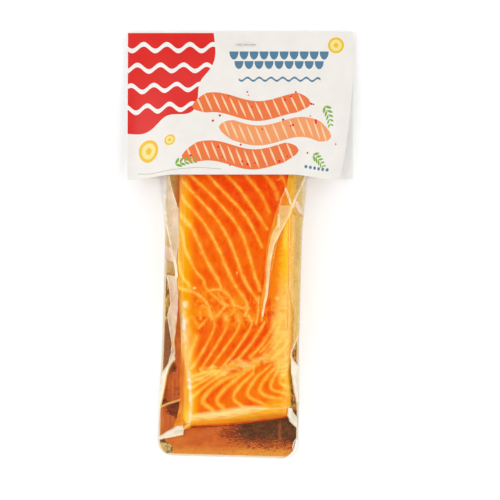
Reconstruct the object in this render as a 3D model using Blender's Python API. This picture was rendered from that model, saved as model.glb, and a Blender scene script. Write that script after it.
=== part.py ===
"""A clear pouch of lightly salted salmon on a gold board, with a folded card header stapled over its top.

The pack lies on its back with the shown side up, as it would on a table.
Units are metres. X runs across the pack, Y runs along it towards the header, Z is up.
The origin is under the middle of the whole pack, on the surface that it lies on.

The pouch is one closed solid out to its film: the slab of the board, the block of fish that stands on
it, the film that slopes from the fish down to the board, and the folds in which spare film stands up.
"""

import math

import bmesh
import bpy
import numpy as np

# Whole pack
PACK_LENGTH = 0.2775  # from the header's fold to the foot of the pouch
PACK_WIDTH = 0.146  # the header is the widest piece
CLEARANCE = 0.0003  # between pieces that touch

# Staple of round wire
STAPLE_CROWN = 0.0129
STAPLE_WIRE = 0.00056
STAPLE_X = 0.0036
STAPLE_DROP = 0.0089  # below the fold
STAPLE_HOOK = 0.0042  # length of each leg's clinched end, lying flat behind the card
LEG_HOLE = 0.0007  # radius of the holes that the legs pass through

# Header card: one sheet folded over the pouch's top
CARD = 0.00045  # thickness
FLAP_DROP = 0.0955  # from the fold to the lower edge, along the card
FOLD_GAP = 0.0016  # between the two flaps at the fold
FLAT_DROP = 0.011  # the front flap stays flat this far below the fold
FLAP_RISE = 0.0206  # how far the front flap's middle climbs over the fish
FLAP_BEND = 0.030  # length over which the flat part turns into the climb
CORNER_RISE = 0.24  # share of that climb left at the front flap's corners
CREST_HALF_WIDTH = 0.036  # the part of the front flap that stays level across the fish
BACK_LIFT = STAPLE_WIRE + CLEARANCE  # the clinched staple lifts the back flap off the surface
FLAP_COLUMNS = 28
FRONT_ROWS = 20
BACK_ROWS = 5
FOLD_STEPS = 4

# Pouch, in its own frame: "across" from its axis, "along" from its foot towards the header
POUCH_TURN = math.radians(1.575)  # the pouch hangs a little askew in its header
POUCH_FOOT_X = -0.0084
POUCH_LENGTH = 0.2710
BOARD_HALF_WIDTH = 0.0455
BOARD_WAIST = 0.0010  # the board's sides draw in this much above its foot
BOARD_CORNER = 0.0095
BOARD_END = 0.2180  # the board stops here, under the header
BOARD_SLAB = 0.0012  # board with film on both faces
FILM_SLAB = 0.0008  # two layers of empty film, as thick as their seam
FILM_SPREAD_LEFT = 0.0065  # the empty film is wider than the board on either side
FILM_SPREAD_RIGHT = 0.0030
RAMP_START = 0.1500  # from here the pouch climbs onto the header's back flap
POUCH_COLUMNS = 40
CUT_END_ROWS = 24  # rows of the pouch's mesh over the fish's cut end, where they are closest
CUT_END = 0.0400
BODY_ROWS = 62

# Fish inside the pouch, as the form it gives the film
BELLY_HEIGHT = 0.0125
LOIN_HEIGHT = 0.0190
LOIN_ALONG = 0.140
FISH_CROWN = 0.0006  # how much its middle stands above its sides
FISH_END = 0.1990
FISH_FOOT_LEFT = 0.0160
FISH_FOOT_RIGHT = 0.0262
FISH_LEFT = -0.0345
FISH_RIGHT = 0.0400
LEAN = 0.0055  # the left side leans back this much more in the lower half
FOOT_RUN = 0.0056  # how far the cut end leans back
END_RUN = 0.0090
SHOULDER = 0.0050  # how softly the cut sides turn into the top

# Where the film comes down onto the board beside the fish: (along, across)
LEFT_TOUCH = (
    (0.0160, -0.0370), (0.0330, -0.0345), (0.0540, -0.0345), (0.0640, -0.0365), (0.0850, -0.0395),
    (0.0920, -0.0415), (0.1000, -0.0392), (0.1060, -0.0400), (0.1180, -0.0438), (0.1340, -0.0392),
    (0.1560, -0.0440), (0.1850, -0.0475), (0.2100, -0.0500),
)
RIGHT_TOUCH = (
    (0.0250, 0.0415), (0.0480, 0.0425), (0.0600, 0.0440), (0.0690, 0.0412), (0.0780, 0.0440),
    (0.1290, 0.0445), (0.1590, 0.0442), (0.1850, 0.0462), (0.2100, 0.0470),
)
SHOULDER_LEFT = -0.0290  # the film leaves the fish's top here
SHOULDER_RIGHT = 0.0350
FILM_SAG = 1.25  # 1 is film stretched straight, more is film that hangs in
TAIL_END = 0.2350  # beyond the fish the film comes down to lie flat here

# Folds standing up from the film: half width, then (across, along, height) at each bend
FOLDS = {
    "left_seal": (0.0028, ((-0.0365, 0.0640, 0.0010), (-0.0400, 0.0560, 0.0034), (-0.0420, 0.0375, 0.0034),
                           (-0.0425, 0.0140, 0.0016))),
    "left_spur": (0.0022, ((-0.0415, 0.0305, 0.0020), (-0.0330, 0.0345, 0.0040))),
    "left_corner": (0.0034, ((-0.0285, 0.0180, 0.0050), (-0.0350, 0.0155, 0.0045), (-0.0430, 0.0110, 0.0020))),
    "right_corner": (0.0030, ((0.0380, 0.0290, 0.0040), (0.0405, 0.0255, 0.0050), (0.0430, 0.0215, 0.0020))),
    "right_seal": (0.0026, ((0.0405, 0.0700, 0.0030), (0.0425, 0.0590, 0.0030), (0.0415, 0.0460, 0.0036),
                            (0.0425, 0.0350, 0.0020))),
    "right_tent": (0.0060, ((0.0440, 0.1780, 0.0020), (0.0378, 0.1645, 0.0026), (0.0251, 0.1370, 0.0020),
                            (0.0216, 0.1285, 0.0016), (0.0203, 0.0940, 0.0004))),
}

FOLD_Y = PACK_LENGTH / 2
FLAP_EDGE_Y = FOLD_Y - FLAP_DROP
FISH_MIDDLE = (FISH_LEFT + FISH_RIGHT) / 2
FOOT_Y = -PACK_LENGTH / 2 + (BOARD_HALF_WIDTH - BOARD_CORNER) * math.sin(POUCH_TURN)


def clear_scene():
    """Start from nothing, whatever the open file holds."""
    for thing in list(bpy.data.objects):
        bpy.data.objects.remove(thing, do_unlink=True)


def clamp(value):
    return np.clip(value, 0.0, 1.0)


def ease(low, high, value):
    """0 below low, 1 above high, and a smooth climb between."""
    share = clamp((value - low) / (high - low))
    return share * share * (3 - 2 * share)


def soft_min(first, second, softness):
    """The lower of two heights, with the corner between them rounded off."""
    overlap = np.maximum(softness - np.abs(first - second), 0) / softness
    return np.minimum(first, second) - overlap * overlap * softness / 4


# The pouch's form


def to_pack(across, along):
    """X and Y of a point given in the pouch's frame."""
    x = POUCH_FOOT_X + across * math.cos(POUCH_TURN) + along * math.sin(POUCH_TURN)
    y = FOOT_Y - across * math.sin(POUCH_TURN) + along * math.cos(POUCH_TURN)
    return x, y


def pouch_edges(along):
    """Left and right edge of the pouch at a distance from its foot."""
    into_corner = np.maximum(BOARD_CORNER - along, 0)
    half = BOARD_HALF_WIDTH - BOARD_CORNER + np.sqrt(BOARD_CORNER**2 - into_corner**2)
    half = half - BOARD_WAIST * ease(0.02, 0.08, along)
    spread = ease(0.140, 0.200, along)
    return -half - spread * FILM_SPREAD_LEFT, half + spread * FILM_SPREAD_RIGHT


def back_flap_top(y):
    """Height of the back flap's upper face, which the staple lifts towards the fold."""
    return CARD + BACK_LIFT * ease(FLAP_EDGE_Y, FOLD_Y - STAPLE_DROP - STAPLE_HOOK, y)


def pouch_underside(y, along):
    """The pouch lies flat on the surface, then climbs onto the header's back flap."""
    climb = clamp((along - RAMP_START) / (FLAP_EDGE_Y - FOOT_Y - 0.004 - RAMP_START))
    return climb * (back_flap_top(y) + CLEARANCE)


def fish_height(across, along):
    """Height of the fish above the board: thick at the loin, thin at the belly, with leaning cut sides."""
    grow = clamp((along - FISH_FOOT_LEFT) / (LOIN_ALONG - FISH_FOOT_LEFT))
    top = BELLY_HEIGHT + (LOIN_HEIGHT - BELLY_HEIGHT) * np.sin(0.5 * np.pi * grow)
    top = top + FISH_CROWN * (1 - ((across - FISH_MIDDLE) / (FISH_RIGHT - FISH_MIDDLE)) ** 2)

    lower_half = ease(0.105, 0.070, along)
    left_base = FISH_LEFT + 0.4 * LEAN * lower_half * ease(0.018, 0.035, along)
    left = (across - left_base) / (0.0030 + LEAN * lower_half)
    right = (FISH_RIGHT - across) / 0.0050

    foot_share = clamp((across + 0.0290) / (FISH_RIGHT + 0.0290))
    foot_line = FISH_FOOT_LEFT + (FISH_FOOT_RIGHT - FISH_FOOT_LEFT) * foot_share
    foot = (along - foot_line) / FOOT_RUN * BELLY_HEIGHT
    end = (FISH_END - along) / END_RUN * LOIN_HEIGHT

    sides = soft_min(left * top, right * top, SHOULDER)
    ends = soft_min(foot, end, SHOULDER)
    return np.maximum(soft_min(soft_min(top, sides, SHOULDER), ends, SHOULDER), 0.0)


def film_slopes(across, along):
    """Height above the board of the film that runs from the fish's shoulders down to the board."""
    slopes = []
    for touch, shoulder in ((LEFT_TOUCH, SHOULDER_LEFT), (RIGHT_TOUCH, SHOULDER_RIGHT)):
        shoulder_height = fish_height(np.full_like(across, shoulder), along)
        touch_across = np.interp(along, *zip(*touch))
        share = clamp((across - touch_across) / (shoulder - touch_across))
        slopes.append(shoulder_height * share**FILM_SAG)
    return np.minimum(*slopes)


def film_tail(across, along):
    """Height above the board of the film beyond the fish, which narrows to a flat end inside the header."""
    tail_start = FISH_END - END_RUN
    fall = clamp((TAIL_END - along) / (TAIL_END - tail_start))
    left_edge, right_edge = pouch_edges(along)
    aside = np.where(across < FISH_MIDDLE, (FISH_MIDDLE - across) / (FISH_MIDDLE - left_edge),
                     (across - FISH_MIDDLE) / (right_edge - FISH_MIDDLE))
    level = clamp(1.0 - aside**3)
    return np.where(along > tail_start, 0.92 * LOIN_HEIGHT * fall**FILM_SAG * level, 0.0)


def fold_height(across, along, half_width, bends):
    """Height of one standing fold: a ridge that follows its bends and falls off to both sides."""
    height = np.zeros_like(across)
    for (a0, l0, h0), (a1, l1, h1) in zip(bends, bends[1:]):
        run_a, run_l = a1 - a0, l1 - l0
        share = clamp(((across - a0) * run_a + (along - l0) * run_l) / (run_a**2 + run_l**2))
        apart = np.hypot(across - a0 - share * run_a, along - l0 - share * run_l)
        height = np.maximum(height, (h0 + share * (h1 - h0)) * clamp(1 - apart / half_width))
    return height


def pouch_top(across, along, y):
    """Height of the pouch's upper face: the board or empty film, and all that stands on it."""
    slab = BOARD_SLAB + (FILM_SLAB - BOARD_SLAB) * ease(BOARD_END - 0.004, BOARD_END + 0.004, along)
    base = np.maximum(fish_height(across, along), film_slopes(across, along))
    base = np.maximum(base, film_tail(across, along))
    folds = np.zeros_like(across)
    for half_width, bends in FOLDS.values():
        folds = np.maximum(folds, fold_height(across, along, half_width, bends))
    left_edge, right_edge = pouch_edges(along)
    inset = np.minimum(np.minimum(across - left_edge, right_edge - across), along)
    return pouch_underside(y, along) + slab + (base + folds) * ease(0.0, 0.0020, inset)


# Meshes


def object_from(name, vertices, faces, material):
    """One smooth-shaded object from points and faces, with its faces turned outwards."""
    mesh = bpy.data.meshes.new(name)
    mesh.from_pydata([tuple(map(float, v)) for v in vertices], [], faces)
    work = bmesh.new()
    work.from_mesh(mesh)
    bmesh.ops.recalc_face_normals(work, faces=work.faces)
    work.to_mesh(mesh)
    work.free()
    mesh.shade_smooth()
    mesh.set_sharp_from_angle(angle=math.radians(35))
    mesh.materials.append(material)
    thing = bpy.data.objects.new(name, mesh)
    bpy.context.scene.collection.objects.link(thing)
    return thing


def make_material(name, colour, roughness, metallic):
    made = bpy.data.materials.new(name)
    made.use_nodes = True
    shader = made.node_tree.nodes["Principled BSDF"]
    shader.inputs["Base Color"].default_value = (*colour, 1.0)
    shader.inputs["Roughness"].default_value = roughness
    shader.inputs["Metallic"].default_value = metallic
    made.diffuse_color = (*colour, 1.0)
    return made


def pouch_rows():
    """Distances from the foot at which the pouch is sampled: close together by the foot and the cut end."""
    corner = [BOARD_CORNER * (1 - math.cos(math.radians(a))) for a in (0, 24, 42, 58, 74)]
    cut_end = np.linspace(BOARD_CORNER, CUT_END, CUT_END_ROWS, endpoint=False)
    return np.concatenate([corner, cut_end, np.linspace(CUT_END, POUCH_LENGTH, BODY_ROWS + 1)])


def pouch_columns():
    """Shares of the width at which the pouch is sampled: close together in the margins, where the film folds."""
    even = np.linspace(0, 1, POUCH_COLUMNS + 1)
    return even - 0.075 * np.sin(2 * np.pi * even)


def make_pouch(film):
    """The pouch as one solid: a sampled upper face, and an underside of one strip per row."""
    rows = pouch_rows()
    columns = pouch_columns()
    left_edge, right_edge = pouch_edges(rows)
    across = left_edge[:, None] + (right_edge - left_edge)[:, None] * columns[None, :]
    along = np.repeat(rows[:, None], len(columns), axis=1)
    x, y = to_pack(across, along)
    upper = np.stack([x, y, pouch_top(across, along, y)], axis=-1)
    under = np.stack([x, y, pouch_underside(y, along)], axis=-1)[:, [0, -1], :]
    vertices = np.concatenate([upper.reshape(-1, 3), under.reshape(-1, 3)])
    high, wide = across.shape

    def top(row, column):
        return row * wide + column

    def base(row, side):
        return wide * high + row * 2 + side

    faces = []
    for row in range(high - 1):
        for column in range(wide - 1):
            faces.append((top(row, column), top(row, column + 1), top(row + 1, column + 1), top(row + 1, column)))
        faces.append((base(row, 0), base(row + 1, 0), base(row + 1, 1), base(row, 1)))
        faces.append((top(row, 0), top(row + 1, 0), base(row + 1, 0), base(row, 0)))
        faces.append((top(row, wide - 1), base(row, 1), base(row + 1, 1), top(row + 1, wide - 1)))
    faces.append([base(0, 0), base(0, 1)] + [top(0, column) for column in range(wide - 1, -1, -1)])
    faces.append([base(high - 1, 1), base(high - 1, 0)] + [top(high - 1, column) for column in range(wide)])
    return object_from("pouch", vertices, faces, film)


def front_flap_height(u, v):
    """Height of the front flap's middle layer: u across the card, v down from the fold."""
    climb = FLAP_RISE * clamp((v - FLAT_DROP) / (FLAP_DROP - FLAT_DROP))
    climb = climb * (0.35 + 0.65 * ease(FLAT_DROP, FLAT_DROP + FLAP_BEND, v))
    side = clamp((np.abs(u) - CREST_HALF_WIDTH) / (PACK_WIDTH / 2 - CREST_HALF_WIDTH))
    level = CORNER_RISE + (1 - CORNER_RISE) * 0.5 * (1 + np.cos(np.pi * side))
    return 1.5 * CARD + BACK_LIFT + FOLD_GAP + climb * level


def shrunk_steps(flat, height, axis):
    """Distances along one axis of a sheet that was flat, after it has climbed without being stretched."""
    steps = np.sqrt(np.diff(flat, axis=axis) ** 2 - np.diff(height, axis=axis) ** 2)
    run = np.cumsum(steps, axis=axis)
    return np.concatenate([np.zeros_like(run.take([0], axis=axis)), run], axis=axis)


def header_middle():
    """Grid of points in the card's middle layer, from the front's lower edge over the fold to the back's."""
    u = np.linspace(-PACK_WIDTH / 2, PACK_WIDTH / 2, FLAP_COLUMNS + 1)
    fold_low = CARD / 2 + BACK_LIFT
    radius = (front_flap_height(0.0, 0.0) - fold_low) / 2
    fold_y = FOLD_Y - CARD / 2 - radius

    flat_u, flat_v = np.meshgrid(u, np.linspace(0, FLAP_DROP, FRONT_ROWS + 1))
    height = front_flap_height(flat_u, flat_v)
    x = shrunk_steps(flat_u, height, 1) - PACK_WIDTH / 2
    y = fold_y - shrunk_steps(flat_v, height, 0)
    front = np.stack([x, y, height], axis=-1)[::-1]

    angles = np.pi * np.arange(1, FOLD_STEPS) / FOLD_STEPS
    turn_u, turn_angle = np.meshgrid(u, angles)
    turn_y = fold_y + radius * np.sin(turn_angle)
    turn = np.stack([turn_u, turn_y, fold_low + radius * (1 + np.cos(turn_angle))], axis=-1)

    back_x, back_y = np.meshgrid(u, np.linspace(fold_y, FLAP_EDGE_Y, BACK_ROWS + 1))
    back = np.stack([back_x, back_y, back_flap_top(back_y) - CARD / 2], axis=-1)
    return np.concatenate([front, turn, back])


def make_header(card):
    """The folded header as one sheet of card."""
    middle = header_middle()
    normal = np.cross(np.gradient(middle, axis=1), np.gradient(middle, axis=0))
    normal /= np.linalg.norm(normal, axis=-1, keepdims=True)
    layers = np.stack([middle + normal * CARD / 2, middle - normal * CARD / 2])
    high, wide = middle.shape[:2]

    def at(layer, row, column):
        return (layer * high + row) * wide + column

    faces = []
    for row in range(high - 1):
        for column in range(wide - 1):
            square = [(row, column), (row, column + 1), (row + 1, column + 1), (row + 1, column)]
            faces.append([at(0, *corner) for corner in square])
            faces.append([at(1, *corner) for corner in reversed(square)])
        for column in (0, wide - 1):
            faces.append([at(0, row, column), at(0, row + 1, column), at(1, row + 1, column), at(1, row, column)])
    for row in (0, high - 1):
        for column in range(wide - 1):
            faces.append([at(0, row, column), at(0, row, column + 1), at(1, row, column + 1), at(1, row, column)])
    return object_from("header_card", layers.reshape(-1, 3), faces, card)


def make_staple(steel):
    """A staple pushed through header and pouch, with its legs bent flat behind the card."""
    radius = STAPLE_WIRE / 2
    card_face = float(front_flap_height(STAPLE_X, STAPLE_DROP)) + CARD / 2
    crown_z = card_face + CLEARANCE + radius
    bend = 1.3 * STAPLE_WIRE
    half = STAPLE_CROWN / 2 - radius
    quarter = [math.radians(angle) for angle in (0, 30, 60, 90)]
    side = [(half - STAPLE_HOOK, radius)]
    side += [(half - bend + bend * math.sin(a), radius + bend - bend * math.cos(a)) for a in quarter]
    side += [(half - bend + bend * math.cos(a), crown_z - bend + bend * math.sin(a)) for a in quarter]
    line = side + [(-x, z) for x, z in reversed(side)]

    curve = bpy.data.curves.new("staple", "CURVE")
    curve.dimensions = "3D"
    curve.bevel_depth = radius
    curve.bevel_resolution = 2
    curve.use_fill_caps = True
    spline = curve.splines.new("POLY")
    spline.points.add(len(line) - 1)
    for point, (x, z) in zip(spline.points, line):
        point.co = (STAPLE_X + x, FOLD_Y - STAPLE_DROP, z, 1.0)
    curve.materials.append(steel)
    staple = bpy.data.objects.new("staple", curve)
    bpy.context.scene.collection.objects.link(staple)
    return staple


def pierce(things):
    """Round holes through the card and the film for the staple's legs."""
    leg_x = (STAPLE_CROWN - STAPLE_WIRE) / 2
    for side, name in ((-1, "left_leg_hole"), (1, "right_leg_hole")):
        place = (STAPLE_X + side * leg_x, FOLD_Y - STAPLE_DROP, 0.0)
        bpy.ops.mesh.primitive_cylinder_add(vertices=8, radius=LEG_HOLE, depth=0.02, location=place)
        cutter = bpy.context.active_object
        cutter.name = name
        cutter.hide_render = True
        cutter.display_type = "WIRE"
        for thing in things:
            cut = thing.modifiers.new(name, "BOOLEAN")
            cut.operation = "DIFFERENCE"
            cut.object = cutter


def main():
    clear_scene()
    pouch = make_pouch(make_material("filled_pouch", (0.93, 0.33, 0.06), 0.15, 0.0))
    header = make_header(make_material("printed_card", (0.86, 0.83, 0.77), 0.45, 0.0))
    make_staple(make_material("staple_steel", (0.72, 0.72, 0.70), 0.30, 1.0))
    pierce([header, pouch])


main()
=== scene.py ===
"""Looks of a pack of lightly salted salmon: clear pouch, block of fish, gold board, stapled header card.

The pack's own frame: +X to the right of the shown side, +Y towards the header, +Z up. Metres.
The pouch has a frame of its own too: "across" from its axis, and "along" from its foot to the header.
"""
import math

import bmesh
import bpy
import numpy as np
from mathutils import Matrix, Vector, geometry, noise


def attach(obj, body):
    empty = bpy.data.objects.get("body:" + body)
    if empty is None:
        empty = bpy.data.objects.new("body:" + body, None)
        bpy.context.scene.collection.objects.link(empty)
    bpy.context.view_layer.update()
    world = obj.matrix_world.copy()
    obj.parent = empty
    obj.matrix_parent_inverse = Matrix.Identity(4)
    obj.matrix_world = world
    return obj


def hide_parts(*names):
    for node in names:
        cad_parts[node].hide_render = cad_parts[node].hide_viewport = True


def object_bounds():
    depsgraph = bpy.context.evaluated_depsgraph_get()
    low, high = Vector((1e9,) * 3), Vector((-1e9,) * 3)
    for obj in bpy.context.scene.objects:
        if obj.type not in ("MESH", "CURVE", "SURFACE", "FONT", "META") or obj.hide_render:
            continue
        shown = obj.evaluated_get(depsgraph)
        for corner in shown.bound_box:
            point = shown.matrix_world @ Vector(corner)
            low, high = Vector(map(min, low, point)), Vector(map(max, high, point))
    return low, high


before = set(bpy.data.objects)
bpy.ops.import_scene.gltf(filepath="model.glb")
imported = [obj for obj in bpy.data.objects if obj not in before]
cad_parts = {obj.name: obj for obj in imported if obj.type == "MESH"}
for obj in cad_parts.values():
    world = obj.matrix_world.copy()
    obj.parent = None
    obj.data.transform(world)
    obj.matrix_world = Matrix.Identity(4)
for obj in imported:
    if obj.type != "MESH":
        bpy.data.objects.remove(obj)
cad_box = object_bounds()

MM = 0.001

# The pack's own sizes, as in its solids
PACK_LENGTH = cad_box[1].y - cad_box[0].y
PACK_WIDTH = 0.146
CLEARANCE = 0.0003
STAPLE_WIRE = 0.00056
STAPLE_DROP = 0.0089
STAPLE_HOOK = 0.0042

CARD = 0.00045
FLAP_DROP = 0.0955
FOLD_GAP = 0.0016
FLAT_DROP = 0.011
FLAP_RISE = 0.0206
FLAP_BEND = 0.030
CORNER_RISE = 0.24
CREST_HALF_WIDTH = 0.036
BACK_LIFT = STAPLE_WIRE + CLEARANCE

POUCH_TURN = math.radians(1.575)
POUCH_FOOT_X = -0.0084
POUCH_LENGTH = 0.2710
BOARD_HALF_WIDTH = 0.0455
BOARD_WAIST = 0.0010
BOARD_CORNER = 0.0095
BOARD_END = 0.2180
BOARD_SLAB = 0.0012
FILM_SLAB = 0.0008
FILM_SPREAD_LEFT = 0.0065
FILM_SPREAD_RIGHT = 0.0030
RAMP_START = 0.1500

BELLY_HEIGHT = 0.0125
LOIN_HEIGHT = 0.0190
LOIN_ALONG = 0.140
FISH_CROWN = 0.0006
FISH_END = 0.1990
FISH_FOOT_LEFT = 0.0160
FISH_FOOT_RIGHT = 0.0262
FISH_LEFT = -0.0345
FISH_RIGHT = 0.0400
LEAN = 0.0055
FOOT_RUN = 0.0056
END_RUN = 0.0090
SHOULDER = 0.0050

LEFT_TOUCH = (
    (0.0160, -0.0370), (0.0330, -0.0345), (0.0540, -0.0345), (0.0640, -0.0365), (0.0850, -0.0395),
    (0.0920, -0.0415), (0.1000, -0.0392), (0.1060, -0.0400), (0.1180, -0.0438), (0.1340, -0.0392),
    (0.1560, -0.0440), (0.1850, -0.0475), (0.2100, -0.0500),
)
RIGHT_TOUCH = (
    (0.0250, 0.0415), (0.0480, 0.0425), (0.0600, 0.0440), (0.0690, 0.0412), (0.0780, 0.0440),
    (0.1290, 0.0445), (0.1590, 0.0442), (0.1850, 0.0462), (0.2100, 0.0470),
)
SHOULDER_LEFT = -0.0290
SHOULDER_RIGHT = 0.0350
FILM_SAG = 1.25
TAIL_END = 0.2350

FOLD_Y = PACK_LENGTH / 2
FLAP_EDGE_Y = FOLD_Y - FLAP_DROP
FISH_MIDDLE = (FISH_LEFT + FISH_RIGHT) / 2
FOOT_Y = -PACK_LENGTH / 2 + (BOARD_HALF_WIDTH - BOARD_CORNER) * math.sin(POUCH_TURN)

# Layers inside the pouch's slab, from below
BOARD_BOTTOM = 0.00030
BOARD_TOP = 0.00095
FISH_UNDER_FILM = 0.00025  # the fish's surface lies this far inside the film

# Folds that catch the light, each with a pale crease along its top that is partly doubled film and partly a
# painted highlight: half width, half width of the pale crease, the crease's kind of film, then (across,
# along, height) in millimetres at each bend
FOLDS = {
    "left_seal_out": (1.6, 0.40, "crease", ((-36.6, 66.0, 0.8), (-40.2, 59.0, 1.2), (-43.8, 53.0, 1.5),
        (-45.0, 46.0, 1.5))),
    "left_seal": (2.6, 0.45, "gold", ((-35.8, 62.4, 1.0), (-37.8, 60.0, 2.2), (-39.6, 56.4, 3.0),
        (-40.8, 51.4, 3.4), (-41.8, 45.0, 3.4), (-43.0, 38.0, 2.8), (-44.4, 31.6, 1.8))),
    "left_spur": (1.8, 0.70, "gold", ((-43.6, 31.6, 1.8), (-40.8, 33.2, 2.2), (-35.6, 35.0, 2.8),
        (-32.2, 36.4, 3.2))),
    "left_corner": (3.0, 0.35, "crease", ((-29.4, 20.4, 4.6), (-34.0, 19.0, 4.2), (-45.2, 11.6, 1.4))),
    "left_corner_low": (1.2, 0.25, "crease", ((-29.2, 13.8, 1.2), (-37.6, 11.8, 1.4), (-45.0, 10.6, 0.8))),
    "left_tent": (2.2, 0.90, "crease", ((-45.0, 160.0, 1.2), (-43.6, 151.0, 1.6), (-42.0, 144.0, 1.8),
        (-40.7, 138.6, 2.0), (-39.2, 132.6, 2.0), (-37.8, 127.0, 1.8), (-36.6, 122.0, 1.4),
        (-35.8, 116.0, 0.9))),
    "left_tent_top": (2.0, 0.30, "crease", ((-43.2, 184.0, 1.2), (-41.5, 176.6, 1.5), (-39.6, 169.6, 1.6),
        (-37.2, 162.8, 1.0))),
    "left_margin_line": (1.4, 0.60, "crease", ((-44.9, 184.0, 0.8), (-44.8, 170.0, 1.0),
        (-45.0, 160.0, 1.0))),
    "left_wave": (1.6, 0.30, "crease", ((-43.8, 118.0, 0.9), (-42.0, 114.6, 1.2), (-40.7, 109.0, 1.4),
        (-39.9, 103.0, 1.4), (-39.5, 99.0, 1.3), (-40.2, 95.6, 1.2), (-41.3, 92.0, 1.3), (-40.8, 88.0, 1.4),
        (-39.8, 82.0, 1.4), (-38.7, 76.4, 1.4), (-37.9, 72.0, 1.4), (-38.6, 67.6, 1.2))),
    "left_slit": (1.2, 0.20, "gold", ((-35.1, 88.6, 0.5), (-36.0, 80.0, 1.0), (-36.8, 74.0, 1.2),
        (-36.2, 70.6, 1.0), (-35.8, 66.0, 1.0))),
    "right_corner": (2.2, 0.40, "crease", ((38.5, 33.4, 1.2), (38.3, 28.6, 3.0), (39.9, 24.6, 3.4),
        (44.4, 20.6, 1.6))),
    "right_seal": (2.2, 0.40, "crease", ((43.6, 79.6, 1.0), (41.5, 74.4, 1.6), (39.6, 70.0, 2.2),
        (39.4, 66.6, 2.4), (41.0, 64.0, 2.4), (44.0, 60.4, 1.6))),
    "right_wave": (2.0, 0.45, "crease", ((39.9, 57.0, 2.2), (41.2, 50.0, 2.6), (42.2, 44.4, 2.6),
        (44.3, 36.6, 1.4))),
    "right_flap": (1.6, 0.25, "crease", ((40.6, 33.0, 1.8), (41.6, 30.4, 2.0), (44.2, 27.2, 1.0))),
    "right_curl": (1.1, 0.35, "crease", ((42.8, 5.2, 0.7), (42.2, 7.6, 0.9), (42.9, 10.6, 0.9),
        (44.6, 13.4, 0.7))),
    "right_tent": (2.4, 0.60, "bright", ((36.9, 162.9, 2.0), (35.1, 157.3, 2.1), (32.0, 151.4, 2.1),
        (29.2, 145.7, 2.0), (25.8, 138.6, 1.7), (24.2, 130.4, 1.4), (23.4, 124.0, 1.2), (23.0, 114.4, 0.9),
        (22.4, 106.2, 0.6), (21.1, 100.6, 0.3), (20.0, 93.4, 0.15))),
    "right_tent_top": (2.2, 0.70, "crease", ((46.0, 184.2, 1.0), (42.4, 176.0, 1.8), (39.4, 169.2, 2.2),
        (37.4, 164.4, 2.0))),
    "right_tent_left": (1.6, 0.32, "gold", ((32.4, 173.8, 0.8), (29.9, 168.2, 1.0), (28.9, 164.0, 1.2),
        (28.5, 159.6, 1.2))),
    "right_tent_rib": (1.5, 0.80, "bright", ((32.7, 174.4, 0.8), (34.2, 170.0, 1.3), (35.8, 166.0, 1.6),
        (37.2, 163.2, 1.8))),
    "right_tent_mid": (1.4, 0.80, "bright", ((28.7, 157.6, 1.2), (28.7, 153.6, 1.4), (29.0, 150.0, 1.2))),
    "right_rib": (1.4, 0.34, "gold", ((35.5, 155.0, 0.6), (36.0, 138.0, 0.6), (36.7, 112.0, 0.6),
        (37.2, 84.0, 0.5))),
}
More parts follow.
